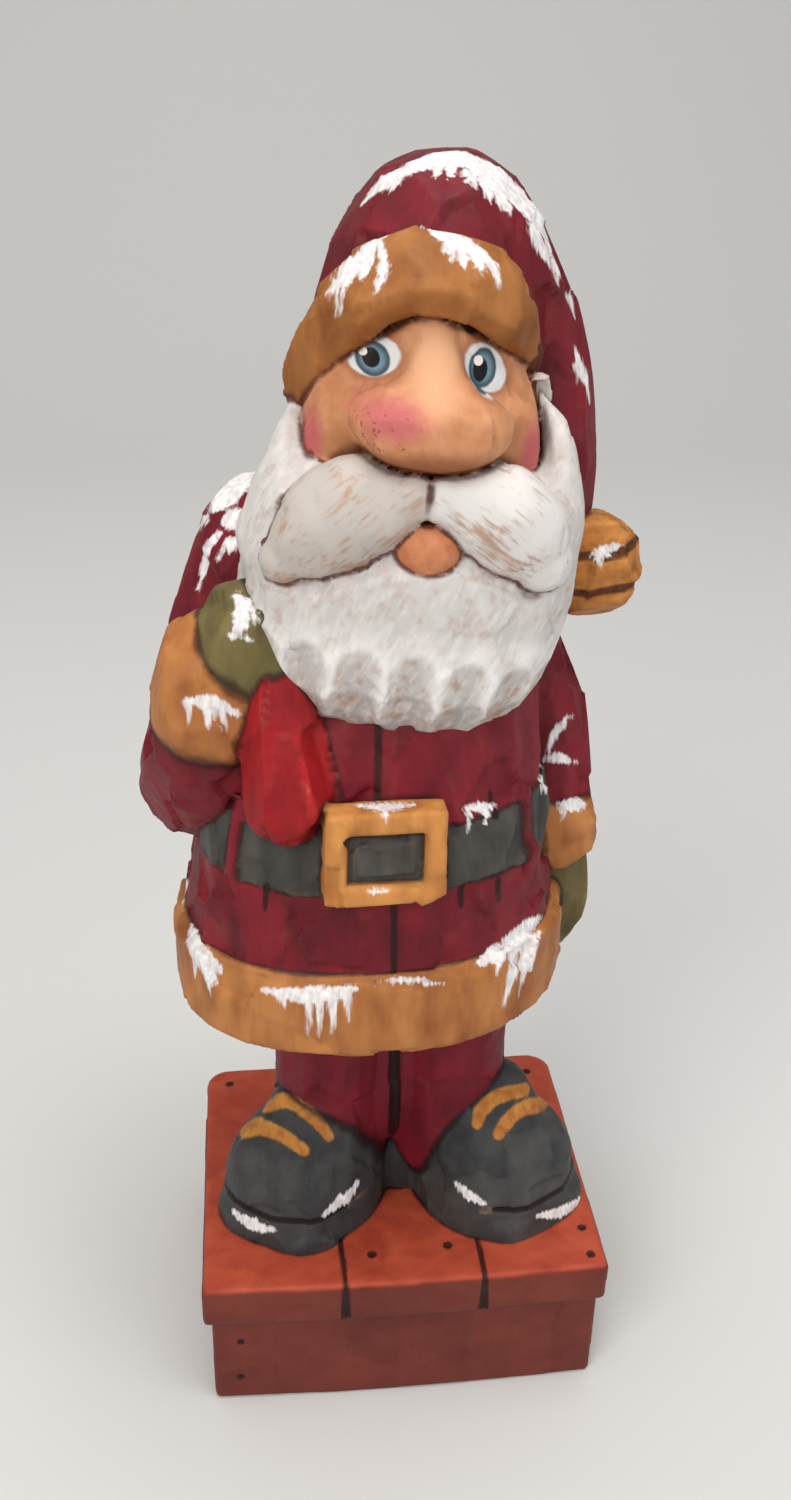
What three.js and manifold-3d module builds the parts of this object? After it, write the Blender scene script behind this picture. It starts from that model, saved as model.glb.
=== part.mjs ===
// Carved and painted wooden Santa on a plank base.
// Millimetres, +Z up, +X to the figure's left hand, the face looks along -Y.
// The origin is the centre of the base's underside.
import * as THREE from "three";
import { mergeVertices } from "three/addons/utils/BufferGeometryUtils.js";
import Module from "manifold-3d";

const wasm = await Module();
wasm.setup();

// Driving dimensions of the base
const BASE_WIDTH = 66;
const BASE_DEPTH = 54;
const SLAB_THICKNESS = 8;
const BOX_HEIGHT = 18;
const BOX_INSET = 1.2;
const FRONT_BOW = 0.9;
const SLAB_CORNER = 4;
const EDGE_BEVEL = 0.8;
const PLANK_GROOVES = [-10.4, 12.2];
const GROOVE_DEPTH = 1.6;
const GROOVE_WIDTH = 1.3;
const NAIL_RADIUS = 0.95;
const NAIL_DEPTH = 1.2;
const TOP_NAILS = [[-28.7, 22.6], [28.2, 21.6], [-5.4, -21.4], [7.2, -20.5], [30.2, -18.6], [30.4, -24.4]];
const FRONT_NAILS = [[-27.2, 13.4], [-27.5, 5.2]];
const STAND = BOX_HEIGHT + SLAB_THICKNESS;

// Driving dimensions of the figure
const HEAD_AT = [0.5, -4, 158];
const HEAD_TURN = [0, 5.8, 0];
const HEM_LOW = 72.6;
const HEM_HIGH = 86;
const HEM_PROUD = 2;
const HEM_TILT = 0.04;
const BELT_LOW = 99;
const BELT_HIGH = 107.6;
const BELT_PROUD = 0.8;
const BUCKLE_WIDTH = 16.4;
const BUCKLE_HEIGHT = 14;
const BUCKLE_BAR = 2.9;
const BUCKLE_AT = [-4.9, -27.4, 104.6];
const BUCKLE_TURN = [-2, 1, 3];

// Coat from the hem up to the neck: height, centre x, centre y, half width, half depth
const COAT = [
  [72, -5, -4, 27.6, 22.2],
  [82, -5, -4, 27.6, 22.4],
  [91, -4.8, -4, 27, 23],
  [99, -4.4, -3.9, 25.4, 22.2],
  [108, -4, -3.4, 24, 21.2],
  [119, -3, -2, 22.6, 19.4],
  [131, -1.8, 0, 21, 17.2],
  [142, -0.6, 2, 19, 15],
  [150, 0, 3, 14.5, 12.5],
  [156, 0.5, 3, 9, 8],
];
const COAT_POWER = 2.3;

// Paint colours
const BURGUNDY = "#5d0f1d";
const DARK_BURGUNDY = "#451017";
const SACK_RED = "#a3121a";
const FUR_OCHRE = "#a5692c";
const GOLD = "#b07a2c";
const OLIVE = "#4d4a22";
const SKIN = "#c98f68";
const BEARD_WHITE = "#cfc6bc";
const BLACK = "#17181b";
const LACE = "#b5792f";
const BRICK = "#7d2a1c";

const RAD = Math.PI / 180;

function turned(geometry, at, turn) {
  const spin = new THREE.Euler(turn[0] * RAD, turn[1] * RAD, turn[2] * RAD, "ZYX");
  geometry.applyMatrix4(new THREE.Matrix4().makeRotationFromEuler(spin));
  return geometry.translate(at[0], at[1], at[2]);
}

// How far a rounded section of the given power reaches in a direction, against a square of half size 1
function reachOf(power, ...parts) {
  return parts.reduce((sum, part) => sum + Math.abs(part) ** power, 0) ** (-1 / power);
}

// A rounded form: an ellipsoid, boxier where its power is above 2, with gouged flutes if asked
function rounded({ at, size, turn = [0, 0, 0], power = 2, sides = 12, rings = 7, flutes = 0, fluteTop = 0 }) {
  const geometry = new THREE.SphereGeometry(1, sides, rings).rotateX(90 * RAD);
  const p = geometry.getAttribute("position");
  for (let i = 0; i < p.count; i++) {
    const v = new THREE.Vector3().fromBufferAttribute(p, i);
    const reach = reachOf(power, v.x, v.y, v.z);
    const column = Math.round((Math.atan2(v.y, v.x) / (2 * Math.PI)) * sides);
    const cut = v.z < fluteTop && v.z > -0.99 && column % 2 ? 1 - flutes : 1;
    v.multiplyScalar(reach * cut);
    p.setXYZ(i, v.x * size[0], v.y * size[1], v.z * size[2]);
  }
  return turned(geometry, at, turn);
}

// A tapered limb with round ends, which follows a smooth curve through its points.
// Where it has a hub, its section is flattened towards the hub, as a strip wrapped round a form is.
function limb({ points, radii, flat = 1, hub = null, sides = 10, steps = 4, cap = 2 }) {
  const curve = new THREE.CatmullRomCurve3(points.map((q) => new THREE.Vector3(...q)));
  const thick = new THREE.CatmullRomCurve3(radii.map((r) => new THREE.Vector3(r, 0, 0)));
  const profile = [];
  for (let i = 0; i <= cap; i++) {
    const bend = (i / cap) * 90 * RAD;
    profile.push([0, Math.sin(bend), -Math.cos(bend)]);
  }
  for (let i = 1; i < steps; i++) profile.push([i / steps, 1, 0]);
  for (let i = 0; i <= cap; i++) {
    const bend = (i / cap) * 90 * RAD;
    profile.push([1, Math.cos(bend), Math.sin(bend)]);
  }
  const rows = profile.map(([, wide], i) => new THREE.Vector2(wide < 1e-6 ? 0 : wide, i));
  const geometry = new THREE.LatheGeometry(rows, sides);
  const p = geometry.getAttribute("position");
  for (let i = 0; i < p.count; i++) {
    const [t, , ahead] = profile[Math.round(p.getY(i))];
    const along = curve.getTangent(t);
    const spot = curve.getPoint(t);
    const side = hub ? spot.clone().sub(new THREE.Vector3(...hub)) : new THREE.Vector3(0, 1, 0);
    side.addScaledVector(along, -side.dot(along)).normalize();
    const across = new THREE.Vector3().crossVectors(along, side);
    const r = thick.getPoint(t).x;
    spot.addScaledVector(along, ahead * r);
    spot.addScaledVector(across, p.getX(i) * r).addScaledVector(side, p.getZ(i) * r * flat);
    p.setXYZ(i, spot.x, spot.y, spot.z);
  }
  return geometry;
}

// A closed ring through its points, such as the fur round a hat, flattened towards its hub
function ring({ points, radius, flat, hub, sides = 8, steps = 26 }) {
  const curve = new THREE.CatmullRomCurve3(points.map((q) => new THREE.Vector3(...q)), true);
  const geometry = new THREE.TorusGeometry(3, 1, sides, steps);
  const p = geometry.getAttribute("position");
  for (let i = 0; i < p.count; i++) {
    const turn = Math.atan2(p.getY(i), p.getX(i));
    const t = ((turn / (2 * Math.PI)) + 1) % 1;
    const outward = Math.hypot(p.getX(i), p.getY(i)) - 3;
    const along = curve.getTangent(t);
    const spot = curve.getPoint(t);
    const side = spot.clone().sub(new THREE.Vector3(...hub));
    side.addScaledVector(along, -side.dot(along)).normalize();
    const across = new THREE.Vector3().crossVectors(along, side);
    const boxy = reachOf(2.6, outward, p.getZ(i));
    spot.addScaledVector(side, outward * boxy * radius * flat);
    spot.addScaledVector(across, -p.getZ(i) * boxy * radius);
    p.setXYZ(i, spot.x, spot.y, spot.z);
  }
  return geometry;
}

// The coat's section at a height: centre and half sizes
const coatCentre = new THREE.CatmullRomCurve3(COAT.map((s) => new THREE.Vector3(s[1], s[2], s[0])));
const coatSize = new THREE.CatmullRomCurve3(COAT.map((s) => new THREE.Vector3(s[3], s[4], 0)));
function coatAt(z) {
  let low = 0;
  let high = 1;
  for (let i = 0; i < 24; i++) {
    const mid = (low + high) / 2;
    if (coatCentre.getPoint(mid).z < z) low = mid;
    else high = mid;
  }
  const c = coatCentre.getPoint(low);
  const s = coatSize.getPoint(low);
  return { x: c.x, y: c.y, wide: s.x, deep: s.y };
}

// A point of the coat's skin, at an angle round it, moved out by some millimetres
function coatPoint(angle, z, out) {
  const s = coatAt(z);
  const c = Math.cos(angle);
  const n = Math.sin(angle);
  const reach = reachOf(COAT_POWER, c, n);
  return [s.x + c * reach * (s.wide + out), s.y + n * reach * (s.deep + out), z];
}

// A skin through rings round the coat, each given as its height and its offset outwards, tilted if asked
function skin(rings, sides, closed, tilt = 0) {
  const rows = rings.map((_, i) => new THREE.Vector2(1, i));
  if (closed) rows.push(rows[0].clone());
  else {
    rows.unshift(new THREE.Vector2(0, 0));
    rows.push(new THREE.Vector2(0, rings.length - 1));
  }
  const geometry = new THREE.LatheGeometry(rows, sides);
  const p = geometry.getAttribute("position");
  for (let i = 0; i < p.count; i++) {
    const [level, out] = rings[Math.round(p.getY(i))];
    const z = level + tilt * p.getX(i) * coatAt(level).wide;
    const onAxis = Math.hypot(p.getX(i), p.getZ(i)) < 0.5;
    const s = coatAt(z);
    if (onAxis) p.setXYZ(i, s.x, s.y, z);
    else p.setXYZ(i, ...coatPoint(Math.atan2(-p.getZ(i), p.getX(i)), z, out));
  }
  return geometry;
}

// A band round the coat between two heights, standing a little proud of it, its edges rounded by some mm
function band(low, high, proud, sides, edge, tilt) {
  const inside = -6;
  return skin([
    [low, inside], [low, proud - edge], [low + edge * 1.6, proud], [high - edge * 1.6, proud],
    [high, proud - edge], [high, inside],
  ], sides, true, tilt);
}

// A V cut along a line: a wedge with its edge inside the wood
function notch({ from, to, inward, width, depth }) {
  const a = new THREE.Vector3(...from);
  const along = new THREE.Vector3(...to).sub(a);
  const long = along.length();
  along.normalize();
  const into = new THREE.Vector3(...inward);
  into.addScaledVector(along, -into.dot(along)).normalize();
  const side = new THREE.Vector3().crossVectors(into, along);
  const section = new THREE.Shape([
    new THREE.Vector2(-width, -depth), new THREE.Vector2(width, -depth), new THREE.Vector2(0, depth)]);
  const geometry = new THREE.ExtrudeGeometry(section, { depth: long, bevelEnabled: false });
  return geometry.applyMatrix4(new THREE.Matrix4().makeBasis(side, into, along).setPosition(a));
}

// An upright piece of the given outline, facing -Y
function plate(shape, thick, bevel, at, turn) {
  const geometry = new THREE.ExtrudeGeometry(shape, {
    depth: thick - 2 * bevel, bevelSize: bevel, bevelThickness: bevel, bevelOffset: -bevel, bevelSegments: 1 });
  geometry.translate(0, 0, bevel - thick / 2).rotateX(90 * RAD);
  return turned(geometry, at, turn);
}

// Closed meshes become solids that can be joined and cut, and each keeps its paint colour
const colourOf = new Map();
function solid(geometry, colour = BURGUNDY) {
  for (const name of ["normal", "uv"]) geometry.deleteAttribute(name);
  const merged = mergeVertices(geometry, 1e-4);
  const made = new wasm.Manifold(new wasm.Mesh({
    numProp: 3,
    vertProperties: new Float32Array(merged.getAttribute("position").array),
    triVerts: new Uint32Array(merged.index.array),
  })).asOriginal();
  colourOf.set(made.originalID(), new THREE.Color(colour));
  return made;
}
const join = (list) => list.reduce((whole, next) => whole.add(next));
const cut = (whole, list) => list.reduce((left, next) => left.subtract(next), whole);

// The head's forms have a frame of their own, x to its left, -y ahead and z up, tilted on the neck
const headSpin = new THREE.Matrix4().makeRotationFromEuler(
  new THREE.Euler(HEAD_TURN[0] * RAD, HEAD_TURN[1] * RAD, HEAD_TURN[2] * RAD, "ZYX"));
const onHead = (geometry) => geometry.applyMatrix4(headSpin).translate(...HEAD_AT);

// A shoe's upper is two rounded forms, each an ellipsoid standing in the sole: centre, half sizes
const SHOE_LEAN = 31;
const SHOE_SOLE = [12.4, 12.9, 5.4];
const SHOE_UPPERS = [[[0, 0.4, 2], [11.6, 11.8, 16.8]], [[3.2, 4.2, 0], [10.8, 12.2, 22.2]]];
const SHOE_AT = { right: [-17.4, -7.8], left: [19, -8] };
const LACE_RADIUS = 1.15;
const LACES = [[[-5.2, -4.6], [4.6, -4.8]], [[-4.6, 1.2], [5.6, 0.2]]];

const shoeSpot = (side, x, y) => {
  const turn = (side === "right" ? -1 : 1) * SHOE_LEAN * RAD;
  const mirrored = side === "right" ? x : -x;
  const at = SHOE_AT[side];
  const c = Math.cos(turn);
  const n = Math.sin(turn);
  return [at[0] + mirrored * c - y * n, at[1] + mirrored * n + y * c];
};

// The height of the upper's skin over a spot given in the shoe's own frame
function shoeTop(x, y) {
  return Math.max(...SHOE_UPPERS.map(([c, r]) => {
    const rest = 1 - ((x - c[0]) / r[0]) ** 2 - ((y - c[1]) / r[1]) ** 2;
    return STAND + c[2] + (rest > 0 ? r[2] * Math.sqrt(rest) : 0);
  }));
}

function shoe(side) {
  const lean = (side === "right" ? -1 : 1) * SHOE_LEAN;
  const turn = [0, 0, lean];
  const sole = rounded({ at: [...shoeSpot(side, 0, 0), STAND], size: SHOE_SOLE, turn, power: 2.6, sides: 20, rings: 8 });
  const uppers = SHOE_UPPERS.map(([c, size]) =>
    rounded({ at: [...shoeSpot(side, c[0], c[1]), STAND + c[2]], size, turn, sides: 18, rings: 10 }));
  const bars = LACES.map((ends) => {
    const [a, b] = ends;
    const points = [0, 0.5, 1].map((t) => {
      const x = a[0] + (b[0] - a[0]) * t;
      const y = a[1] + (b[1] - a[1]) * t;
      return [...shoeSpot(side, x, y), shoeTop(x, y) - LACE_RADIUS * 0.5];
    });
    const radii = [LACE_RADIUS, LACE_RADIUS, LACE_RADIUS];
    return solid(limb({ points, radii, sides: 6, cap: 1 }), LACE);
  });
  return join([sole, ...uppers].map((g) => solid(g, BLACK)).concat(bars));
}

function trousers() {
  const legs = [-10.4, 8.6].map((x) =>
    solid(limb({
      points: [[x, -1.5, 36], [x, -1.8, 56], [x, -2.5, 78]], radii: [9.3, 9.5, 10], flat: 1.15, sides: 14, steps: 2 })));
  return join(legs);
}

// Folds of the coat that bulge over the belt, and the short pleats cut above and below it
const FOLD_ANGLES = [219, 321];
const PLEATS = [[233, -1], [306, -1], [294, -1], [306, 1]];

function fold(angle) {
  const reach = 8.4;
  const middle = (BELT_LOW + BELT_HIGH) / 2;
  const points = [-1, -0.5, 0.5, 1].map((t) => coatPoint(angle * RAD, middle + t * reach, -0.3 * Math.abs(t)));
  return limb({ points, radii: [0.9, 1.7, 1.7, 0.9], sides: 8, steps: 4, cap: 1 });
}

function pleat([angle, way]) {
  const start = way < 0 ? BELT_LOW + 0.5 : BELT_HIGH - 0.5;
  const from = coatPoint(angle * RAD, start, 0);
  const to = coatPoint(angle * RAD, start + way * 4, 0.4);
  const inward = [coatAt(start).x - from[0], coatAt(start).y - from[1], 0];
  return notch({ from, to, inward, width: 0.7, depth: 1.3 });
}

function coat() {
  const sides = 30;
  const body = solid(skin(COAT.map((s) => [s[0], 0]), sides, false));
  const hem = solid(band(HEM_LOW, HEM_HIGH, HEM_PROUD, sides, 1.1, HEM_TILT), FUR_OCHRE);
  const belt = solid(band(BELT_LOW, BELT_HIGH, BELT_PROUD, sides, 0.2, 0), BLACK);
  const cuts = PLEATS.map(pleat);
  cuts.push(notch({ from: [-3.2, -27.2, 85.5], to: [-3.8, -27.6, 99], inward: [0, 1, 0], width: 0.9, depth: 1.6 }));
  cuts.push(notch({ from: [-5.9, -25.2, 108], to: [-5.6, -20.6, 124], inward: [0, 1, 0], width: 0.8, depth: 1.5 }));
  const folds = FOLD_ANGLES.map((angle) => solid(fold(angle)));
  return join([cut(body, cuts.map((g) => solid(g))), hem, belt, ...folds]);
}

function buckle() {
  const outline = (w, h, corner) => new THREE.Shape(
    [[-w, -h], [w - corner, -h], [w, -h + corner], [w, h], [-w, h]].map((q) => new THREE.Vector2(...q)));
  const w = BUCKLE_WIDTH / 2;
  const h = BUCKLE_HEIGHT / 2;
  const frame = outline(w, h, 1.8);
  frame.holes.push(outline(w - BUCKLE_BAR, h - BUCKLE_BAR - 0.3, 0.3));
  return join([
    solid(plate(frame, 4.6, 0.4, BUCKLE_AT, BUCKLE_TURN), FUR_OCHRE),
    solid(plate(outline(w - BUCKLE_BAR - 1.2, h - BUCKLE_BAR - 1.3, 0.3), 3.4, 0.3, BUCKLE_AT, BUCKLE_TURN), BLACK),
  ]);
}

// The right arm is bent up, and its mitten grips the neck of the sack
function rightArm() {
  return join([
    solid(limb({ points: [[-18.4, 4, 138.8], [-24, 2, 126], [-29.2, 0, 105.4]], radii: [10.2, 9.3, 8.8], sides: 14 })),
    solid(limb({
      points: [[-28.8, 0, 104.6], [-28, -8, 112], [-27, -11.5, 120]], radii: [9.4, 9, 8], sides: 14, steps: 3 })),
    solid(rounded({
      at: [-26.2, -11.8, 124.2], size: [9, 9.4, 10.6], turn: [0, 10, 0], power: 2.3, sides: 14, rings: 8 }), FUR_OCHRE),
    solid(rounded({ at: [-22.8, -14, 133.6], size: [6.8, 7.2, 8.8], turn: [0, 12, 0], power: 2.3 }), OLIVE),
    solid(limb({ points: [[-16.6, -15, 136], [-19.4, -19, 130]], radii: [3.4, 3.4], steps: 2, sides: 8 }), OLIVE),
  ]);
}

// The gathered end of the sack hangs on the chest; the sack itself hangs on the back
function sack() {
  return join([
    solid(limb({
      points: [[-17.6, -14, 136], [-18, -20, 127], [-17.2, -23.4, 112.8]],
      radii: [4.6, 5.4, 6.4], sides: 8, steps: 5 }), SACK_RED),
    solid(limb({
      points: [[-17, -12, 138], [-17, -2, 148], [-11, 9, 146], [-4, 17, 136]],
      radii: [4, 4.6, 6, 9], sides: 8 }), SACK_RED),
    solid(rounded({ at: [-3.4, 18, 112], size: [20, 15, 25], power: 2.2, sides: 14, rings: 8 }), SACK_RED),
  ]);
}

// The left arm hangs by the side, its mitten half behind the hem
function leftArm() {
  return join([
    solid(limb({ points: [[12, 4, 140], [16.8, 4, 124], [22.2, 3, 110], [23.2, 2, 99]], radii: [7.4, 7, 6.8, 6.8] })),
    solid(rounded({ at: [23, 0.6, 94.6], size: [7.3, 8, 6.2], power: 3 }), FUR_OCHRE),
    solid(rounded({ at: [23.3, 1.6, 83], size: [6.1, 7, 10.4], turn: [0, 4, 0], power: 2.3 }), OLIVE),
  ]);
}

function face() {
  const forms = [
    [BEARD_WHITE, rounded({ at: [1, 1, -1], size: [17.6, 15.4, 18], power: 2.2, sides: 18, rings: 10 })],
    [SKIN, rounded({ at: [-0.4, -4.5, 3.5], size: [14.6, 11.6, 14], sides: 14 })],
    [SKIN, limb({ points: [[-0.9, -10.5, 15], [-0.5, -12.4, 10], [0, -14, 5.4]], radii: [3.2, 4.4, 6], steps: 2 })],
    [SKIN, rounded({ at: [0, -14.6, 3.7], size: [10.3, 8, 5.3], sides: 14 })],
    [SKIN, rounded({ at: [0.9, -18.4, -11.6], size: [3.4, 2.8, 2], sides: 8, rings: 5 })],
  ];
  for (const side of [-1, 1]) {
    forms.push([SKIN, rounded({ at: [side * 11.6, -8.6, 0], size: [4.6, 5.4, 6.5], sides: 8, rings: 6 })]);
  }
  return join(forms.map(([colour, geometry]) => solid(onHead(geometry), colour)));
}

// Beard with a gouged rim, and the two lobes of the moustache
function beard() {
  const forms = [
    rounded({
      at: [0.9, -6.2, -18.6], size: [21.6, 14.4, 21.4], power: 2.6, sides: 28, rings: 10,
      flutes: 0.05, fluteTop: -0.4 }),
    limb({
      points: [[-3.4, -16.6, -4.2], [-9.8, -15.8, -8.8], [-14.6, -12.2, -16.8]],
      radii: [4.2, 6.9, 5], sides: 12, steps: 5 }),
    limb({
      points: [[3.8, -16.6, -4], [10.8, -15.4, -8.8], [16.8, -11, -16.4]],
      radii: [4.2, 6.9, 4.8], sides: 12, steps: 5 }),
  ];
  return join(forms.map((geometry) => solid(onHead(geometry), BEARD_WHITE)));
}

// The hat's point falls to the figure's left and ends in a pompom; its fur band is arched up in front
function hat() {
  const forms = [
    [DARK_BURGUNDY, rounded({ at: [1.5, 5, 12], size: [15.2, 15.4, 21.4], sides: 20, rings: 11 })],
    [DARK_BURGUNDY, limb({
      points: [[6, 8, 22.4], [12, 8, 15], [16.8, 7, 5.4], [19.4, 6, -3], [22, 5.4, -13]],
      radii: [8.8, 8.2, 7.4, 6.8, 5.2], sides: 14, steps: 8 })],
    [FUR_OCHRE, ring({
      points: [
        [-14.6, -1.5, 4.4], [-11, -7.8, 12.4], [-7.2, -11, 18], [-2.4, -12.2, 20.5], [4, -11.4, 19.2],
        [9.4, -8.2, 15.8], [12.4, -2.6, 12], [13.6, 6, 8], [8.6, 16.2, 4], [-3, 18.4, 2], [-12.4, 11, 1.6]],
      radius: 5.8, flat: 0.55, hub: [0, 3, 8] })],
  ];
  const pompom = solid(rounded({ at: [27.2, 0, 137.2], size: [6.9, 6.6, 7.3], power: 2.3, sides: 9, rings: 6 }), GOLD);
  return join([...forms.map(([colour, geometry]) => solid(onHead(geometry), colour)), pompom]);
}

function figure() {
  const whole = join([shoe("right"), shoe("left"), trousers(), coat(), buckle(), rightArm(), leftArm(), sack(),
    face(), beard(), hat()]);
  const below = new THREE.BoxGeometry(200, 200, 40).translate(0, 0, STAND - 20);
  // Gaps shut in between the joined forms are solid wood, so only the outer skin is kept
  const skins = whole.subtract(solid(below, BLACK)).decompose();
  return skins.reduce((outer, next) => (next.volume() > outer.volume() ? next : outer));
}

// The base's outline: a rectangle with rounded back corners and a slightly bowed front edge
function baseOutline(inset) {
  const w = BASE_WIDTH / 2 - inset;
  const d = BASE_DEPTH / 2 - inset;
  const r = SLAB_CORNER;
  const s = new THREE.Shape();
  s.moveTo(-w, -d);
  s.quadraticCurveTo(0, -d - 2 * FRONT_BOW, w, -d);
  s.lineTo(w, d - r);
  s.absarc(w - r, d - r, r, 0, 90 * RAD, false);
  s.lineTo(-w + r, d);
  s.absarc(-w + r, d - r, r, 90 * RAD, 180 * RAD, false);
  s.closePath();
  return s;
}

function board(inset, low, high) {
  const bevel = EDGE_BEVEL;
  return solid(new THREE.ExtrudeGeometry(baseOutline(inset), {
    depth: high - low - 2 * bevel, bevelSize: bevel, bevelThickness: bevel, bevelOffset: -bevel, bevelSegments: 2,
    curveSegments: 6,
  }).translate(0, 0, low + bevel), BRICK);
}

function plankBase() {
  const front = -BASE_DEPTH / 2 - FRONT_BOW;
  const cuts = [];
  for (const x of PLANK_GROOVES) {
    cuts.push(notch({
      from: [x, -60, STAND], to: [x, 60, STAND], inward: [0, 0, -1], width: GROOVE_WIDTH, depth: GROOVE_DEPTH }));
    cuts.push(notch({
      from: [x, front, BOX_HEIGHT + 0.8], to: [x, front, STAND + 1], inward: [0, 1, 0],
      width: GROOVE_WIDTH, depth: GROOVE_DEPTH + 0.6 }));
  }
  const nail = () => new THREE.CylinderGeometry(NAIL_RADIUS, NAIL_RADIUS * 0.7, NAIL_DEPTH * 2, 8);
  for (const [x, y] of TOP_NAILS) cuts.push(nail().rotateX(90 * RAD).translate(x, y, STAND));
  for (const [x, z] of FRONT_NAILS) cuts.push(nail().translate(x, -BASE_DEPTH / 2 + BOX_INSET - FRONT_BOW * 0.3, z));
  const whole = board(0, BOX_HEIGHT, STAND).add(board(BOX_INSET, 0, BOX_HEIGHT + 1));
  return cut(whole, cuts.map((g) => solid(g, BRICK)));
}

function mesh(name, body, roughness) {
  const raw = body.getMesh();
  const corners = [];
  const colours = [];
  for (let run = 0; run + 1 < raw.runIndex.length; run++) {
    const colour = colourOf.get(raw.runOriginalID[run]);
    for (let i = raw.runIndex[run]; i < raw.runIndex[run + 1]; i++) {
      const at = raw.triVerts[i] * raw.numProp;
      corners.push(raw.vertProperties[at], raw.vertProperties[at + 1], raw.vertProperties[at + 2]);
      colours.push(colour.r, colour.g, colour.b);
    }
  }
  const geometry = new THREE.BufferGeometry();
  geometry.setAttribute("position", new THREE.Float32BufferAttribute(corners, 3));
  geometry.setAttribute("color", new THREE.Float32BufferAttribute(colours, 3));
  geometry.computeVertexNormals();
  const made = new THREE.Mesh(geometry, new THREE.MeshStandardMaterial({ vertexColors: true, roughness, metalness: 0 }));
  made.name = name;
  return made;
}

const santa = new THREE.Group();
santa.add(mesh("santa_figure", figure(), 0.65));
santa.add(mesh("plank_base", plankBase(), 0.7));

export default santa;
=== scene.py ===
import bpy
import math
import numpy as np
from mathutils import Matrix, Vector


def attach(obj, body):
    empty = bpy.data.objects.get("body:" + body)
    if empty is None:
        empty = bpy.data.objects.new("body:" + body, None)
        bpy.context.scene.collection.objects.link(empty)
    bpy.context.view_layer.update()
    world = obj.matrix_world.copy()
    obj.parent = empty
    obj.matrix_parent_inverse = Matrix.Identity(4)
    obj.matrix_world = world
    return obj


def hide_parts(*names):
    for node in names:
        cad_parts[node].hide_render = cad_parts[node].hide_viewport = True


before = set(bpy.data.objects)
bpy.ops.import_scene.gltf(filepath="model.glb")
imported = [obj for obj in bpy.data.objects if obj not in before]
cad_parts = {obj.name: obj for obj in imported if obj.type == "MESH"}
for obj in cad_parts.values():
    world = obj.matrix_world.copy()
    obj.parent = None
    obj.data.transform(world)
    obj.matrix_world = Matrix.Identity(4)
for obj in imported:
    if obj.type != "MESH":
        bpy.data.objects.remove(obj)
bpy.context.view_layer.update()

# Face. It is carved in the same block of basswood as the rest: a soft face between side hair,
# with a broad nose, round cheeks and eye sockets cut beside the bridge. All sizes are in mm.
HEAD_AT = np.array([0.5, -4.0, 158.0])
HEAD_TURN = (0, 5.8, 0)
FIELD_REACH = 3.2
MM = 0.001


def turn_of(turn):
    """The matrix that turns about x, then y, then z, by degrees."""
    (ca, cb, cc), (sa, sb, sc) = np.cos(np.radians(turn)), np.sin(np.radians(turn))
    about_x = np.array([[1, 0, 0], [0, ca, -sa], [0, sa, ca]])
    about_y = np.array([[cb, 0, sb], [0, 1, 0], [-sb, 0, cb]])
    about_z = np.array([[cc, -sc, 0], [sc, cc, 0], [0, 0, 1]])
    return about_z @ about_y @ about_x


HEAD_SPIN = turn_of(HEAD_TURN)


def on_head(points):
    """Head points, x to its left, -y ahead and z up, in the frame of the whole figure."""
    return np.asarray(points, float) @ HEAD_SPIN.T + HEAD_AT


def head_spots(x, y, z):
    """Spots of the whole figure, each in the head's own frame."""
    return ((x - HEAD_AT[0]) * HEAD_SPIN[0, i] + (y - HEAD_AT[1]) * HEAD_SPIN[1, i]
            + (z - HEAD_AT[2]) * HEAD_SPIN[2, i] for i in range(3))


def rounded(at, size, turn=(0, 0, 0), power=2.0, head=False):
    """A rounded form of wood, boxier where its power is over 2: its box, and its distance field."""
    spin = turn_of(turn)
    if head:
        at, spin = on_head(at), HEAD_SPIN @ spin
    at, size = np.asarray(at, float), np.asarray(size, float)
    half = np.abs(spin) @ size + FIELD_REACH

    def field(x, y, z):
        q = [np.abs(spin[0, i] * (x - at[0]) + spin[1, i] * (y - at[1]) + spin[2, i] * (z - at[2]))
             / size[i] + 1e-5 for i in range(3)]
        m = (q[0] ** power + q[1] ** power + q[2] ** power) ** (1 / power)
        slope = np.sqrt(sum((q[i] / m) ** (2 * power - 2) / size[i] ** 2 for i in range(3)))
        return (m - 1) / slope
    return at - half, at + half, field


def smooth_line(points, steps, closed=False):
    """Points along a centripetal curve through the given points."""
    p = np.asarray(points, float)
    count = len(p) if closed else len(p) - 1
    if closed:
        p = np.vstack([p[-1:], p, p[:2]])
    else:
        p = np.vstack([2 * p[0] - p[1], p, 2 * p[-1] - p[-2]])
    line = []
    for i in range(count):
        a, b, c, d = p[i:i + 4]
        gap = [max(np.linalg.norm(v), 1e-4) ** 0.5 for v in (b - a, c - b, d - c)]
        first = ((b - a) / gap[0] - (c - a) / (gap[0] + gap[1]) + (c - b) / gap[1]) * gap[1]
        last = ((c - b) / gap[1] - (d - b) / (gap[1] + gap[2]) + (d - c) / gap[2]) * gap[1]
        for t in np.arange(steps) / steps:
            line.append(b + first * t + (3 * (c - b) - 2 * first - last) * t ** 2
                        + (2 * (b - c) + first + last) * t ** 3)
    if not closed:
        line.append(p[-2])
    return np.array(line)


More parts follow.
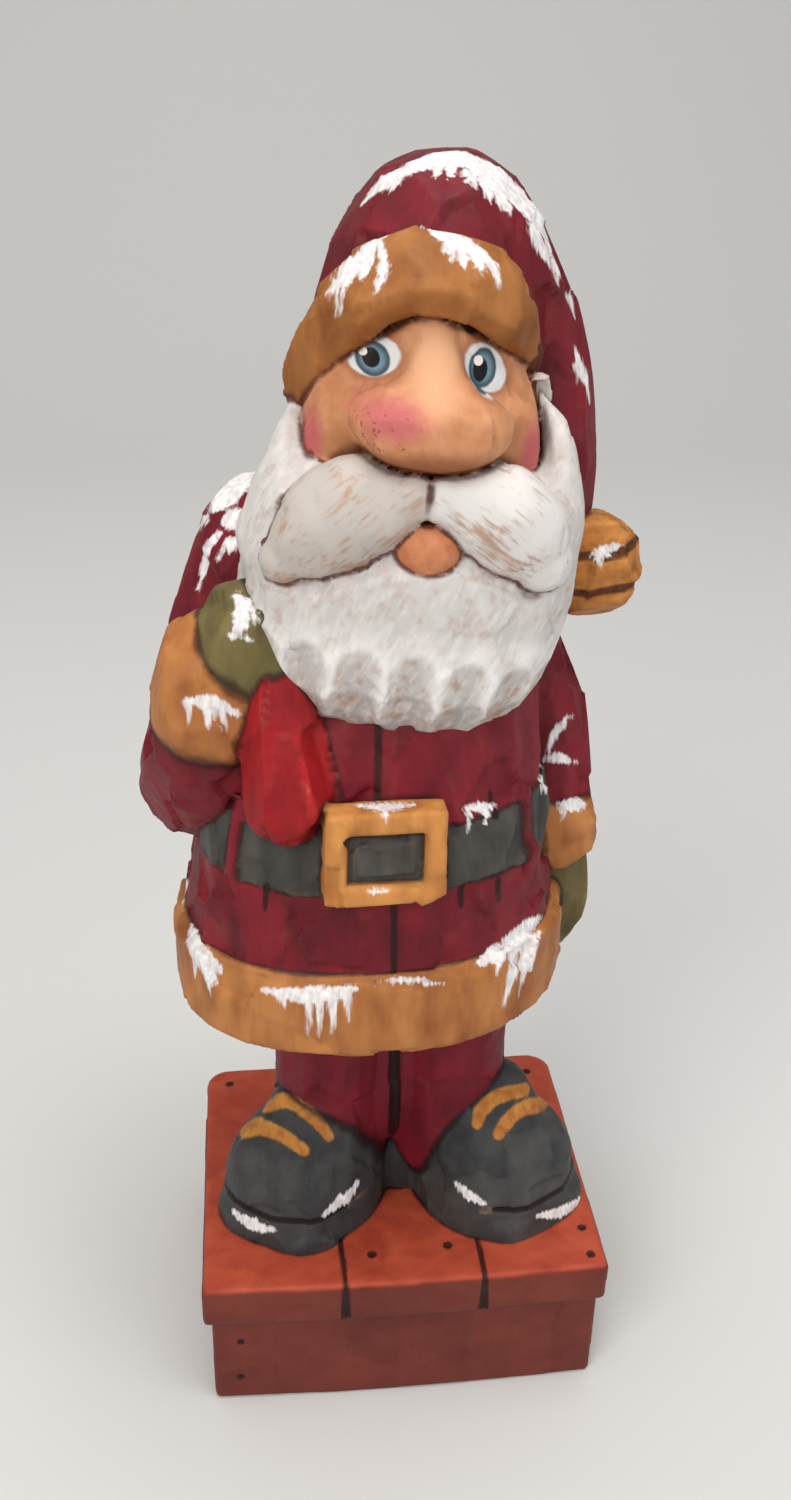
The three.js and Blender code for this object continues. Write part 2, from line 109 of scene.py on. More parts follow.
def along(line, x, y, z):
    """For each spot, its distance from a run of points, and how far along the run it is."""
    near = np.full(x.shape, 1e9, np.float32)
    share = np.zeros(x.shape, np.float32)
    for i in range(len(line) - 1):
        a, ab = line[i], line[i + 1] - line[i]
        dx, dy, dz = x - a[0], y - a[1], z - a[2]
        t = np.clip((dx * ab[0] + dy * ab[1] + dz * ab[2]) / max(ab @ ab, 1e-9), 0, 1)
        d = (dx - t * ab[0]) ** 2 + (dy - t * ab[1]) ** 2 + (dz - t * ab[2]) ** 2
        closer = d < near
        near = np.where(closer, d, near)
        share = np.where(closer, i + t, share)
    return np.sqrt(near), share


LIMB_STEPS = 5


def limb(points, radii, deep=1.0, head=False):
    """A tapered round limb along a smooth curve, deeper front to back where deep is over 1."""
    if head:
        points = on_head(points)
    line = smooth_line(points, LIMB_STEPS)
    thick = smooth_line(np.asarray(radii, float)[:, None], LIMB_STEPS)[:, 0]
    wide = thick.max() * deep + FIELD_REACH
    low, high = line.min(0) - wide, line.max(0) + wide
    line[:, 1] /= deep

    def field(x, y, z):
        d, share = along(line, x, y / deep, z)
        return d - np.interp(share, np.arange(len(thick)), thick)
    return low, high, field


def gouge(points, width, depth, head=False, steps=4, round_end=True):
    """A shallow cut along a curve, round like a gouge's."""
    if head:
        points = on_head(points)
    line = smooth_line(points, steps)

    def field(x, y, z):
        d, _ = along(line, x, y, z)
        return depth * (1 - np.clip(d / width, 0, 1) ** 2) ** (2 if round_end else 1)
    return line.min(0) - width, line.max(0) + width, field


def knife_line(points, half, head=False, steps=4):
    """A narrow cut along a curve, where dark wash stays; its half width is one number or one a point."""
    if head:
        points = on_head(points)
    line = smooth_line(points, steps)
    wide = smooth_line(np.broadcast_to(np.asarray(half, float), len(points))[:, None], steps)[:, 0]

    def field(x, y, z):
        d, share = along(line, x, y, z)
        return np.interp(share, np.arange(len(wide)), wide) - d
    field.knife = True
    return line.min(0) - wide.max() - 1, line.max(0) + wide.max() + 1, field


carved = []


def zone(name, forms, blend=0.0, cuts=()):
    """Wood of one paint: forms joined with a soft blend in mm, and the cuts made in them."""
    made = {"name": name, "forms": list(forms), "blend": blend, "cuts": list(cuts)}
    carved.append(made)
    return made


def within(box_low, box_high, x, y, z):
    """Which spots lie in a box."""
    return np.nonzero((x > box_low[0]) & (x < box_high[0]) & (y > box_low[1]) & (y < box_high[1])
                      & (z > box_low[2]) & (z < box_high[2]))[0]


def depth_of(part, x, y, z):
    """A zone's distance field at spots: under 0 in the wood, and kept to a few mm outside it."""
    d = np.full(x.shape, FIELD_REACH, np.float32)
    for low, high, field in part["forms"]:
        at = within(low, high, x, y, z)
        new, old = field(x[at], y[at], z[at]), d[at]
        both = np.minimum(old, new)
        if part["blend"]:
            blend = part["blend"]
            both = both - np.clip(blend - np.abs(old - new), 0, None) ** 2 / (4 * blend)
        d[at] = both
    cut = np.zeros(x.shape, np.float32)
    for low, high, field in part["cuts"]:
        at = within(low, high, x, y, z)
        if hasattr(field, "knife"):
            d[at] = np.maximum(d[at], field(x[at], y[at], z[at]))
        else:
            cut[at] = np.maximum(cut[at], field(x[at], y[at], z[at]))
    return d + cut


KNIFE_SMUDGE = 0.55


def cuts_near(parts, x, y, z):
    """For each spot, how deep the gouge cut into it, in mm, and how near it is to a knife line."""
    scoop, knife = np.zeros(x.shape), np.zeros(x.shape)
    for part in parts:
        for low, high, field in part["cuts"]:
            if field in (ledge_cut, cheek_cut):
                continue
            at = within(low, high, x, y, z)
            value = field(x[at], y[at], z[at])
            if hasattr(field, "knife"):
                knife[at] = np.maximum(knife[at], np.clip(1 + value / KNIFE_SMUDGE, 0, 1))
            else:
                scoop[at] = np.maximum(scoop[at], value)
    return scoop, knife


FACE_CUT = 0.7
face = zone("skin", [
    rounded((-0.2, -4.5, 3.5), (14.2, 11.6, 14), head=True),
    limb([(-0.9, -10.5, 15), (-0.5, -12.4, 10), (0, -14, 5.4)], [3.2, 4.4, 6], head=True),
    rounded((0, -14.7, 3.4), (10.3, 8, 5.7), head=True),
    rounded((-10.9, -8, 0), (3.9, 4.6, 8.6), (0, 8, 0), head=True),
    rounded((11.2, -8, 0.8), (4.0, 4.6, 8), (0, -8, 0), head=True),
], blend=2.4, cuts=[
    gouge(line, width, FACE_CUT, head=True) for line, width in (
        ([(-8.4, -13.6, 6.2), (-5.4, -14.4, 8.6), (-4.0, -13.8, 13)], 2.2),
        ([(9.4, -13, 6.6), (5.6, -14.2, 8.6), (3.4, -13.8, 13)], 2.2),
        ([(-8.4, -17.6, -0.2), (-11, -15, 3.4), (-10.4, -13.4, 7)], 1.4),
        ([(8.6, -17.6, 0), (11, -15, 3.4), (10.6, -13.4, 6.6)], 1.4))])
lip = zone("lip", [rounded((1.0, -18.9, -10.9), (4.1, 3.0, 3.4), head=True)])

# Side hair, beard and moustache, in the same block of wood and painted white. The beard is one full
# mass with the side hair, hollowed lower down by rows of gouge cuts; the moustache is two thick
# lobes parted under the nose.
hair = zone("hair", [rounded((1, 1, -8.5), (17.2, 15.4, 11.5), power=2.6, head=True)])

BEARD_AT = np.array([0.6, -6.2, -19.4])
BEARD_SIZE = (22.2, 15.2, 23.2)
BEARD_LEAN = (0, 4, 0)
BEARD_SPIN = turn_of(BEARD_LEAN)
BEARD_POWER = 2.6
GOUGE_ROWS = [(-8, 9, 0.5), (-23, 9, 0.9), (-38, 8, 1.7), (-54, 8, 2.1), (-71, 7, 1.5)]
GOUGE_WIDTH, GOUGE_START, GOUGE_SWEEP, GOUGE_HALF_LENGTH = 4.3, -176, 172, 3
LEDGE = np.array([(-22, -17), (-15.5, -18.6), (-8.5, -16.4), (-4.4, -13.4), (1.2, -13.9),
                  (6.4, -12.6), (9.8, -14.6), (14.5, -17), (18.9, -17.6), (23, -17)])
LEDGE_CUT, CHEEK_CUT = 1.7, 6.0


def beard_gouges():
    """Rows of scooped cuts round the beard, each row at an angle down from its middle."""
    rows = []
    for row, (down, count, depth) in enumerate(GOUGE_ROWS):
        for i in range(count):
            turn = math.radians(GOUGE_START + GOUGE_SWEEP * (i + (0.65 if row % 2 else 0.2)) / count)
            reach = []
            for lift in (-GOUGE_HALF_LENGTH, 0, GOUGE_HALF_LENGTH):
                a = math.radians(down + lift)
                way = np.array([math.cos(turn) * math.cos(a), math.sin(turn) * math.cos(a), math.sin(a)])
                boxy = np.sum(np.abs(way) ** BEARD_POWER) ** (-1 / BEARD_POWER)
                reach.append(BEARD_AT + BEARD_SPIN @ (way * boxy * BEARD_SIZE))
            rows.append(gouge(reach, GOUGE_WIDTH, depth, head=True, steps=2, round_end=False))
    return rows


def ledge_cut(x, y, z):
    """The beard is cut back under the moustache and round the mouth, down to a stepped line."""
    lx, ly, lz = head_spots(x, y, z)
    part = np.clip((lz - np.interp(lx, LEDGE[:, 0], LEDGE[:, 1]) + 0.8) / 2.4, 0, 1)
    inside = np.clip((18 - np.abs(lx - 0.6)) / 3, 0, 1)
    return LEDGE_CUT * part ** 2 * (3 - 2 * part) * inside * (ly < -4)


def cheek_cut(x, y, z):
    """The beard is cut away over the cheeks, between the side hair."""
    lx, ly, lz = head_spots(x, y, z)
    rise = np.clip((lz + 9 - 0.35 * np.abs(lx)) / 4, 0, 1)
    side = np.clip((15.2 - np.abs(lx - 0.4)) / 2, 0, 1)
    return CHEEK_CUT * rise * side * (ly < -4)


beard = zone("beard", [
    rounded(BEARD_AT, BEARD_SIZE, BEARD_LEAN, BEARD_POWER, head=True),
    limb([(-14.8, -4.6, 2.4), (-16.0, -7.2, -2.8), (-17.0, -8.6, -8.3), (-17.8, -8.6, -14)],
         [2.2, 3.0, 3.7, 4.4], head=True),
    limb([(14.8, -4.8, 7.0), (16.6, -7.4, 2.0), (17.9, -8.8, -3.4), (18.6, -9.0, -9)],
         [2.2, 2.7, 3.2, 3.8], head=True),
], blend=2.4, cuts=beard_gouges() + [
    knife_line([(14.2, -7.2, 6.4), (15.3, -9.7, 2.4), (16.0, -10.9, -0.4)], (0.4, 0.45, 0.3), head=True),
    (np.array([-26, -28, 130]), np.array([26, 0, 165]), ledge_cut),
    (np.array([-26, -28, 140]), np.array([26, 0, 165]), cheek_cut)])
moustache = zone("moustache", [
    limb([(-1.6, -19.4, -4.6), (-4.6, -18.0, -6.2), (-8.2, -16.9, -7.3), (-12.0, -16.7, -10.0),
          (-14.8, -16.8, -12.6), (-16.6, -16.8, -14.4)],
         [3.0, 5.4, 6.9, 6.4, 4.9, 3.0], deep=0.85, head=True),
    limb([(1.9, -19.4, -4.5), (5.4, -18.2, -5.5), (10.0, -17.2, -6.6), (13.6, -17.3, -9.4),
          (15.9, -17.4, -11.8)],
         [2.9, 5.1, 6.6, 5.9, 3.9], deep=0.85, head=True),
], cuts=[
    knife_line([(0.1, -20.4, -1.5), (0.1, -22, -4.6), (0.2, -21.6, -6.8)], 0.3, head=True),
])

# Hat. A soft pointed cap whose end falls to the figure's left, with a band of fur arched up over
# the brow, and a small faceted pompom resting beside the beard.
hat = zone("hat", [
    rounded((1.5, 5, 12), (15.2, 15.4, 21.4), head=True),
    limb([(6, 8, 22.4), (12, 8, 15), (16.8, 7, 5.4), (19.4, 6, -3), (22, 5.4, -13)],
         [8.8, 8.2, 7.4, 6.8, 5.2], head=True),
], blend=3.0, cuts=[
    gouge([(5, -9, 28), (11, -4.5, 22), (14.6, -1.6, 13), (16, 0, 2), (18, 0.6, -8)], 2.2, 0.7, head=True),
])

BAND = [(-14.5, -2.6, 4.4, 3.4), (-11.9, -7.6, 12.6, 4.1), (-8.0, -10.6, 18.4, 4.9), (-2.6, -12.0, 20.8, 5.0),
        (3.6, -11.6, 20.2, 5.1), (8.4, -8.8, 17.2, 4.6), (11.0, -3.2, 13.2, 4.2), (12.4, 6, 8.4, 4.6),
        (8.2, 15.6, 4, 5.2), (-3, 18.2, 2, 5.4), (-11.8, 10, 2, 5)]
BAND_THICK, BAND_HUB, BAND_STEPS = 2.8, (0, 3, 8), 7


def fur_ring(points, thick, hub):
    """A strip of fur wrapped round the hat, with its own width at each point, flat against the hub."""
    line = smooth_line(points, BAND_STEPS, closed=True)
    line, wide = on_head(line[:, :3]), line[:, 3]
    ahead = np.roll(line, -1, 0) - np.roll(line, 1, 0)
    ahead /= np.linalg.norm(ahead, axis=1)[:, None]
    out = line - on_head(hub)
    out -= ahead * np.sum(out * ahead, 1)[:, None]
    out /= np.linalg.norm(out, axis=1)[:, None]
    up = np.cross(ahead, out)

    def field(x, y, z):
        near = np.full(x.shape, 1e9, np.float32)
        best = np.zeros(x.shape, int)
        for i, p in enumerate(line):
            d = (x - p[0]) ** 2 + (y - p[1]) ** 2 + (z - p[2]) ** 2
            best = np.where(d < near, i, best)
            near = np.minimum(near, d)
        off = np.stack([x, y, z], -1) - line[best]
        a = np.abs(np.sum(off * out[best], -1)) / thick + 1e-5
        b = np.abs(np.sum(off * up[best], -1)) / wide[best] + 1e-5
        m = (a ** 3 + b ** 3) ** (1 / 3)
        return (m - 1) / np.sqrt((a / m) ** 4 / thick ** 2 + (b / m) ** 4 / wide[best] ** 2)
    return line.min(0) - wide.max() - FIELD_REACH, line.max(0) + wide.max() + FIELD_REACH, field


band = zone("fur", [fur_ring(BAND, BAND_THICK, BAND_HUB)])
pompom = zone("gold", [rounded((26.6, 0, 137.2), (6.9, 6.6, 7.2), power=2.4)], cuts=[
    knife_line([(20.0, -2.5, h), (21.6, -5.2, h), (25.6, -6.7, h + 0.3), (30.0, -6.0, h + 0.8),
                (33.2, -2.4, h + 1.2), (32.4, 2.6, h + 1.2)], 0.55) for h in (134.2, 139.8)])


def join_parts(parts, x, y, z):
    """The field of several zones together."""
    return np.minimum.reduce([depth_of(part, x, y, z) for part in parts])


def carve(parts, low, high, step):
    """The skin of the zones as points and four-cornered faces, one point to a cell of a fine grid."""
    axes = [np.arange(low[i], high[i] + step, step) for i in range(3)]
    shape = [len(a) for a in axes]
    x, y, z = (g.ravel().astype(np.float32) for g in np.meshgrid(*axes, indexing="ij"))
    value = join_parts(parts, x, y, z).reshape(shape)
    value = np.where(np.abs(value) < 1e-4, 1e-4, value)
    wood = value < 0
    corners = [(i, j, k) for i in (0, 1) for j in (0, 1) for k in (0, 1)]
    size = [s - 1 for s in shape]
    held = sum(wood[i:i + size[0], j:j + size[1], k:k + size[2]].astype(np.int8)
               for i, j, k in corners)
    cells = np.argwhere((held > 0) & (held < 8))
    number = np.full(size, -1)
    number[tuple(cells.T)] = np.arange(len(cells))
    at = {c: value[cells[:, 0] + c[0], cells[:, 1] + c[1], cells[:, 2] + c[2]] for c in corners}
    total = np.zeros((len(cells), 3))
    count = np.zeros(len(cells))
    for a in corners:
        for axis in range(3):
            if a[axis]:
                continue
            b = tuple(1 if i == axis else a[i] for i in range(3))
            cross = (at[a] < 0) != (at[b] < 0)
            t = np.where(cross, at[a] / np.where(cross, at[a] - at[b], 1), 0)
            spot = np.array(a, float) + t[:, None] * (np.array(b) - np.array(a))
            total += np.where(cross[:, None], spot, 0)
            count += cross
    points = (cells + total / count[:, None]) * step + [a[0] for a in axes]
    faces = []
    for axis in range(3):
        one, two = [(1, 2), (2, 0), (0, 1)][axis]
        start = tuple(slice(0, -1) if i == axis else slice(None) for i in range(3))
        end = tuple(slice(1, None) if i == axis else slice(None) for i in range(3))
        edge = np.argwhere(wood[start] != wood[end])
        edge = edge[(edge[:, one] > 0) & (edge[:, two] > 0)
                    & (edge[:, one] < size[one]) & (edge[:, two] < size[two])]
        ring = []
        for back_one, back_two in ((1, 1), (0, 1), (0, 0), (1, 0)):
            cell = edge.copy()
            cell[:, one] -= back_one
            cell[:, two] -= back_two
            ring.append(number[tuple(cell.T)])
        quad = np.stack(ring, 1)
        flip = ~wood[tuple(edge.T)]
        quad[flip] = quad[flip][:, ::-1]
        faces.append(quad)
    return points, np.concatenate(faces)


# Strokes are laid along the line of sight of the photograph, and reach less far across that line
# than into the hollows behind.
PAINTER_FACES = np.array([0.097, 0.887, -0.452])
STROKE_DEPTH = 0.35
HOLLOW_PROBES = ((0.7, 0.3), (1.6, 0.4), (3.0, 0.3))
EDGE_PROBE = 0.9
LEAD_MOST = 2.0
FAR_FROM_STROKE = -4.0


def wood_piece(name, parts, low, high, step, chisel=None, **strokes):
    """The carved piece, with what its paint needs at each point, from zones and seams to strokes."""
    points, faces = carve(parts, low, high, step)
    mesh = bpy.data.meshes.new(name)
    mesh.vertices.add(len(points))
    mesh.vertices.foreach_set("co", (points * MM).ravel())
    mesh.loops.add(faces.size)
    mesh.loops.foreach_set("vertex_index", faces.ravel())
    mesh.polygons.add(len(faces))
    mesh.polygons.foreach_set("loop_start", np.arange(0, faces.size, 4))
    mesh.polygons.foreach_set("loop_total", np.full(len(faces), 4))
    mesh.polygons.foreach_set("use_smooth", np.ones(len(faces), bool))
    mesh.update(calc_edges=True)
    normal = np.empty(len(points) * 3)
    mesh.vertices.foreach_get("normal", normal)
    normal = normal.reshape(-1, 3)
    x, y, z = points.T
    own = {part["name"]: None for part in parts}
    for part in parts:
        d = depth_of(part, x, y, z)
        own[part["name"]] = d if own[part["name"]] is None else np.minimum(own[part["name"]], d)
    for key, d in own.items():
        rest = [v for k, v in own.items() if k != key]
        lead = (np.minimum.reduce(rest) - d) / 2 if rest else np.full(len(d), LEAD_MOST)
        keep(mesh, "is_" + key, np.clip(lead, -LEAD_MOST, LEAD_MOST))
    near = np.sort(np.array(list(own.values())), axis=0)
    lone = np.full(len(points), LEAD_MOST)
    keep(mesh, "seam", np.clip((near[1] - near[0]) / 2, 0, LEAD_MOST) if len(own) > 1 else lone)
    # How much wood closes round each point, for the dark wash and painted shade in hollows and between parts.
    hollow = np.zeros(len(points))
    for far, share in HOLLOW_PROBES:
        px, py, pz = (points + normal * far).T
        hollow += share * np.clip(1 - join_parts(carved, px, py, pz) / far, 0, 1.5)
    keep(mesh, "hollow", hollow)
    scoop, knife = cuts_near(parts, x, y, z)
    keep(mesh, "scoop", scoop)
    keep(mesh, "knife", knife)
    # How far each point faces up; the stand's paint uses it for painted light on top and painted shade on the
    # sides.
    keep(mesh, "up", normal[:, 2])
    px, py, pz = (points - normal * EDGE_PROBE).T
    keep(mesh, "edge", np.clip(1 + join_parts(parts, px, py, pz) / EDGE_PROBE, 0, 1))
    flat = np.eye(3) - (1 - STROKE_DEPTH) * np.outer(PAINTER_FACES, PAINTER_FACES)
    fx, fy, fz = (points @ flat).T
    for paint, rows in strokes.items():
        cover = np.full(len(points), FAR_FROM_STROKE)
        for stroke in rows:
            curve = smooth_line(stroke, 3)
            line, wide = curve[:, :3] @ flat, curve[:, 3]
            d, share = along(line, fx, fy, fz)
            cover = np.maximum(cover, np.interp(share, np.arange(len(wide)), wide) - d)
        keep(mesh, paint, cover)
    keep(mesh, "chisel", np.ones(len(points)) if chisel is None else chisel(own, x, y, z))
    made = bpy.data.objects.new(name, mesh)
    bpy.context.scene.collection.objects.link(made)
    return made


def keep(mesh, name, values):
    """Stores one number for each vertex."""
    note = mesh.attributes.new(name, "FLOAT", "POINT")
    note.data.foreach_set("value", np.asarray(values, np.float32))


def new_tree(name, takes, inputs, gives):
    """An empty Geometry Nodes tree with named inputs: geometry, numbers, and last its paint."""
    tree = bpy.data.node_groups.new(name, "GeometryNodeTree")
    socket = tree.interface.new_socket
    socket(takes, in_out="INPUT", socket_type="NodeSocketGeometry")
    for label, start in inputs:
        socket(label, in_out="INPUT", socket_type="NodeSocketFloat").default_value = start
    socket("Paint", in_out="INPUT", socket_type="NodeSocketMaterial")
    socket(gives, in_out="OUTPUT", socket_type="NodeSocketGeometry")
    return tree


def end_tree(tree, given, geometry):
    """Closes a tree: its instances made real, and its paint put on."""
    new, link = tree.nodes.new, tree.links.new
    real, painted = new("GeometryNodeRealizeInstances"), new("GeometryNodeSetMaterial")
    link(geometry, real.inputs[0])
    link(real.outputs[0], painted.inputs["Geometry"])
    link(given.outputs["Paint"], painted.inputs["Material"])
    link(painted.outputs[0], new("NodeGroupOutput").inputs[0])


def grow(made, tree, material, numbers):
    """Runs a tree on a piece with these inputs, and makes what comes out the piece's own mesh."""
    made.data.materials.append(material)
    live = made.modifiers.new(tree.name, "NODES")
    live.node_group = tree
    wanted = {**numbers, "Paint": material}
    for item in tree.interface.items_tree:
        if item.in_out == "INPUT" and item.name in wanted:
            live[item.identifier] = wanted[item.name]
    bpy.context.view_layer.update()
    seen = made.evaluated_get(bpy.context.evaluated_depsgraph_get())
    result = bpy.data.meshes.new_from_object(seen)
    made.modifiers.clear()
    made.data = result
    return made


def knife_marks(made, material, long, depth, seed):
    """Flat facets all over a carved piece, as a knife leaves them, by a Geometry Nodes tree."""
    tree = bpy.data.node_groups.get("knife marks")
    if tree is None:
        tree = new_tree("knife marks", "Carved wood",
                        (("Facet length", 5.0), ("Facet depth", 0.3), ("Seed", 1.0)), "Carved wood")
        new, link = tree.nodes.new, tree.links.new

        def step(kind, operation, *given):
            node = new(kind)
            node.operation = operation
            for value, slot in zip(given, node.inputs):
                if hasattr(value, "links"):
                    link(value, slot)
                else:
                    slot.default_value = value
            return node

        given = new("NodeGroupInput")
        wood = given.outputs["Carved wood"]
        place, normal = new("GeometryNodeInputPosition"), new("GeometryNodeInputNormal")
        narrow = (1.0, 1.0, 0.62)
        grid = step("ShaderNodeVectorMath", "MULTIPLY", place.outputs[0], narrow)
        grid = step("ShaderNodeVectorMath", "ADD", grid.outputs[0], given.outputs["Seed"])
        scale = step("ShaderNodeMath", "DIVIDE", 1000.0, given.outputs["Facet length"])
        cells = new("ShaderNodeTexVoronoi")
        link(grid.outputs[0], cells.inputs["Vector"])
        link(scale.outputs[0], cells.inputs["Scale"])
        centre = step("ShaderNodeVectorMath", "SUBTRACT", cells.outputs["Position"], given.outputs["Seed"])
        centre = step("ShaderNodeVectorMath", "DIVIDE", centre.outputs[0], narrow)
        facet = []
        for value in (place, normal):
            node = new("GeometryNodeSampleNearestSurface")
            node.data_type = "FLOAT_VECTOR"
            link(wood, node.inputs["Mesh"])
            link(value.outputs[0], node.inputs["Value"])
            link(centre.outputs[0], node.inputs["Sample Position"])
            facet.append(node.outputs["Value"])
        away = step("ShaderNodeVectorMath", "SUBTRACT", facet[0], place.outputs[0])
        lift = step("ShaderNodeVectorMath", "DOT_PRODUCT", away.outputs[0], facet[1])
        depth_m = step("ShaderNodeMath", "MULTIPLY", given.outputs["Facet depth"], MM)
        low = step("ShaderNodeMath", "MULTIPLY", depth_m.outputs[0], -1.0)
        held = step("ShaderNodeMath", "MAXIMUM", lift.outputs["Value"], low.outputs[0])
        held = step("ShaderNodeMath", "MINIMUM", held.outputs[0], depth_m.outputs[0])
        agree = step("ShaderNodeVectorMath", "DOT_PRODUCT", normal.outputs[0], facet[1])
        fade = new("ShaderNodeMapRange")
        link(agree.outputs["Value"], fade.inputs["Value"])
        fade.inputs["From Min"].default_value, fade.inputs["From Max"].default_value = 0.55, 0.85
        rim = new("ShaderNodeTexVoronoi")
        rim.feature = "DISTANCE_TO_EDGE"
        link(grid.outputs[0], rim.inputs["Vector"])
        link(scale.outputs[0], rim.inputs["Scale"])
        told = wood
        for name, value in (("facet", cells.outputs["Color"]), ("rim", rim.outputs["Distance"])):
            note = new("GeometryNodeStoreNamedAttribute")
            note.inputs["Name"].default_value = name
            link(told, note.inputs["Geometry"])
            link(value, note.inputs["Value"])
            told = note.outputs[0]
        read = new("GeometryNodeInputNamedAttribute")
        read.data_type = "FLOAT"
        read.inputs["Name"].default_value = "chisel"
        mask = step("ShaderNodeMath", "MULTIPLY", fade.outputs[0], read.outputs["Attribute"])
        held = step("ShaderNodeMath", "MULTIPLY", held.outputs[0], mask.outputs[0])
        shift = step("ShaderNodeVectorMath", "SCALE", facet[1])
        link(held.outputs[0], shift.inputs["Scale"])
        move = new("GeometryNodeSetPosition")
        link(told, move.inputs["Geometry"])
        link(shift.outputs[0], move.inputs["Offset"])
        end_tree(tree, given, move.outputs[0])
    return grow(made, tree, material, {"Facet length": long, "Facet depth": depth, "Seed": seed})


def colour(code):
    """A painter's colour, from its code to linear light."""
    parts = [int(code[i:i + 2], 16) / 255 for i in (1, 3, 5)]
    return tuple(p / 12.92 if p < 0.04045 else ((p + 0.055) / 1.055) ** 2.4 for p in parts) + (1.0,)


EDGE_WOBBLE, PAINT_BUMPS = 0.24, 0.16


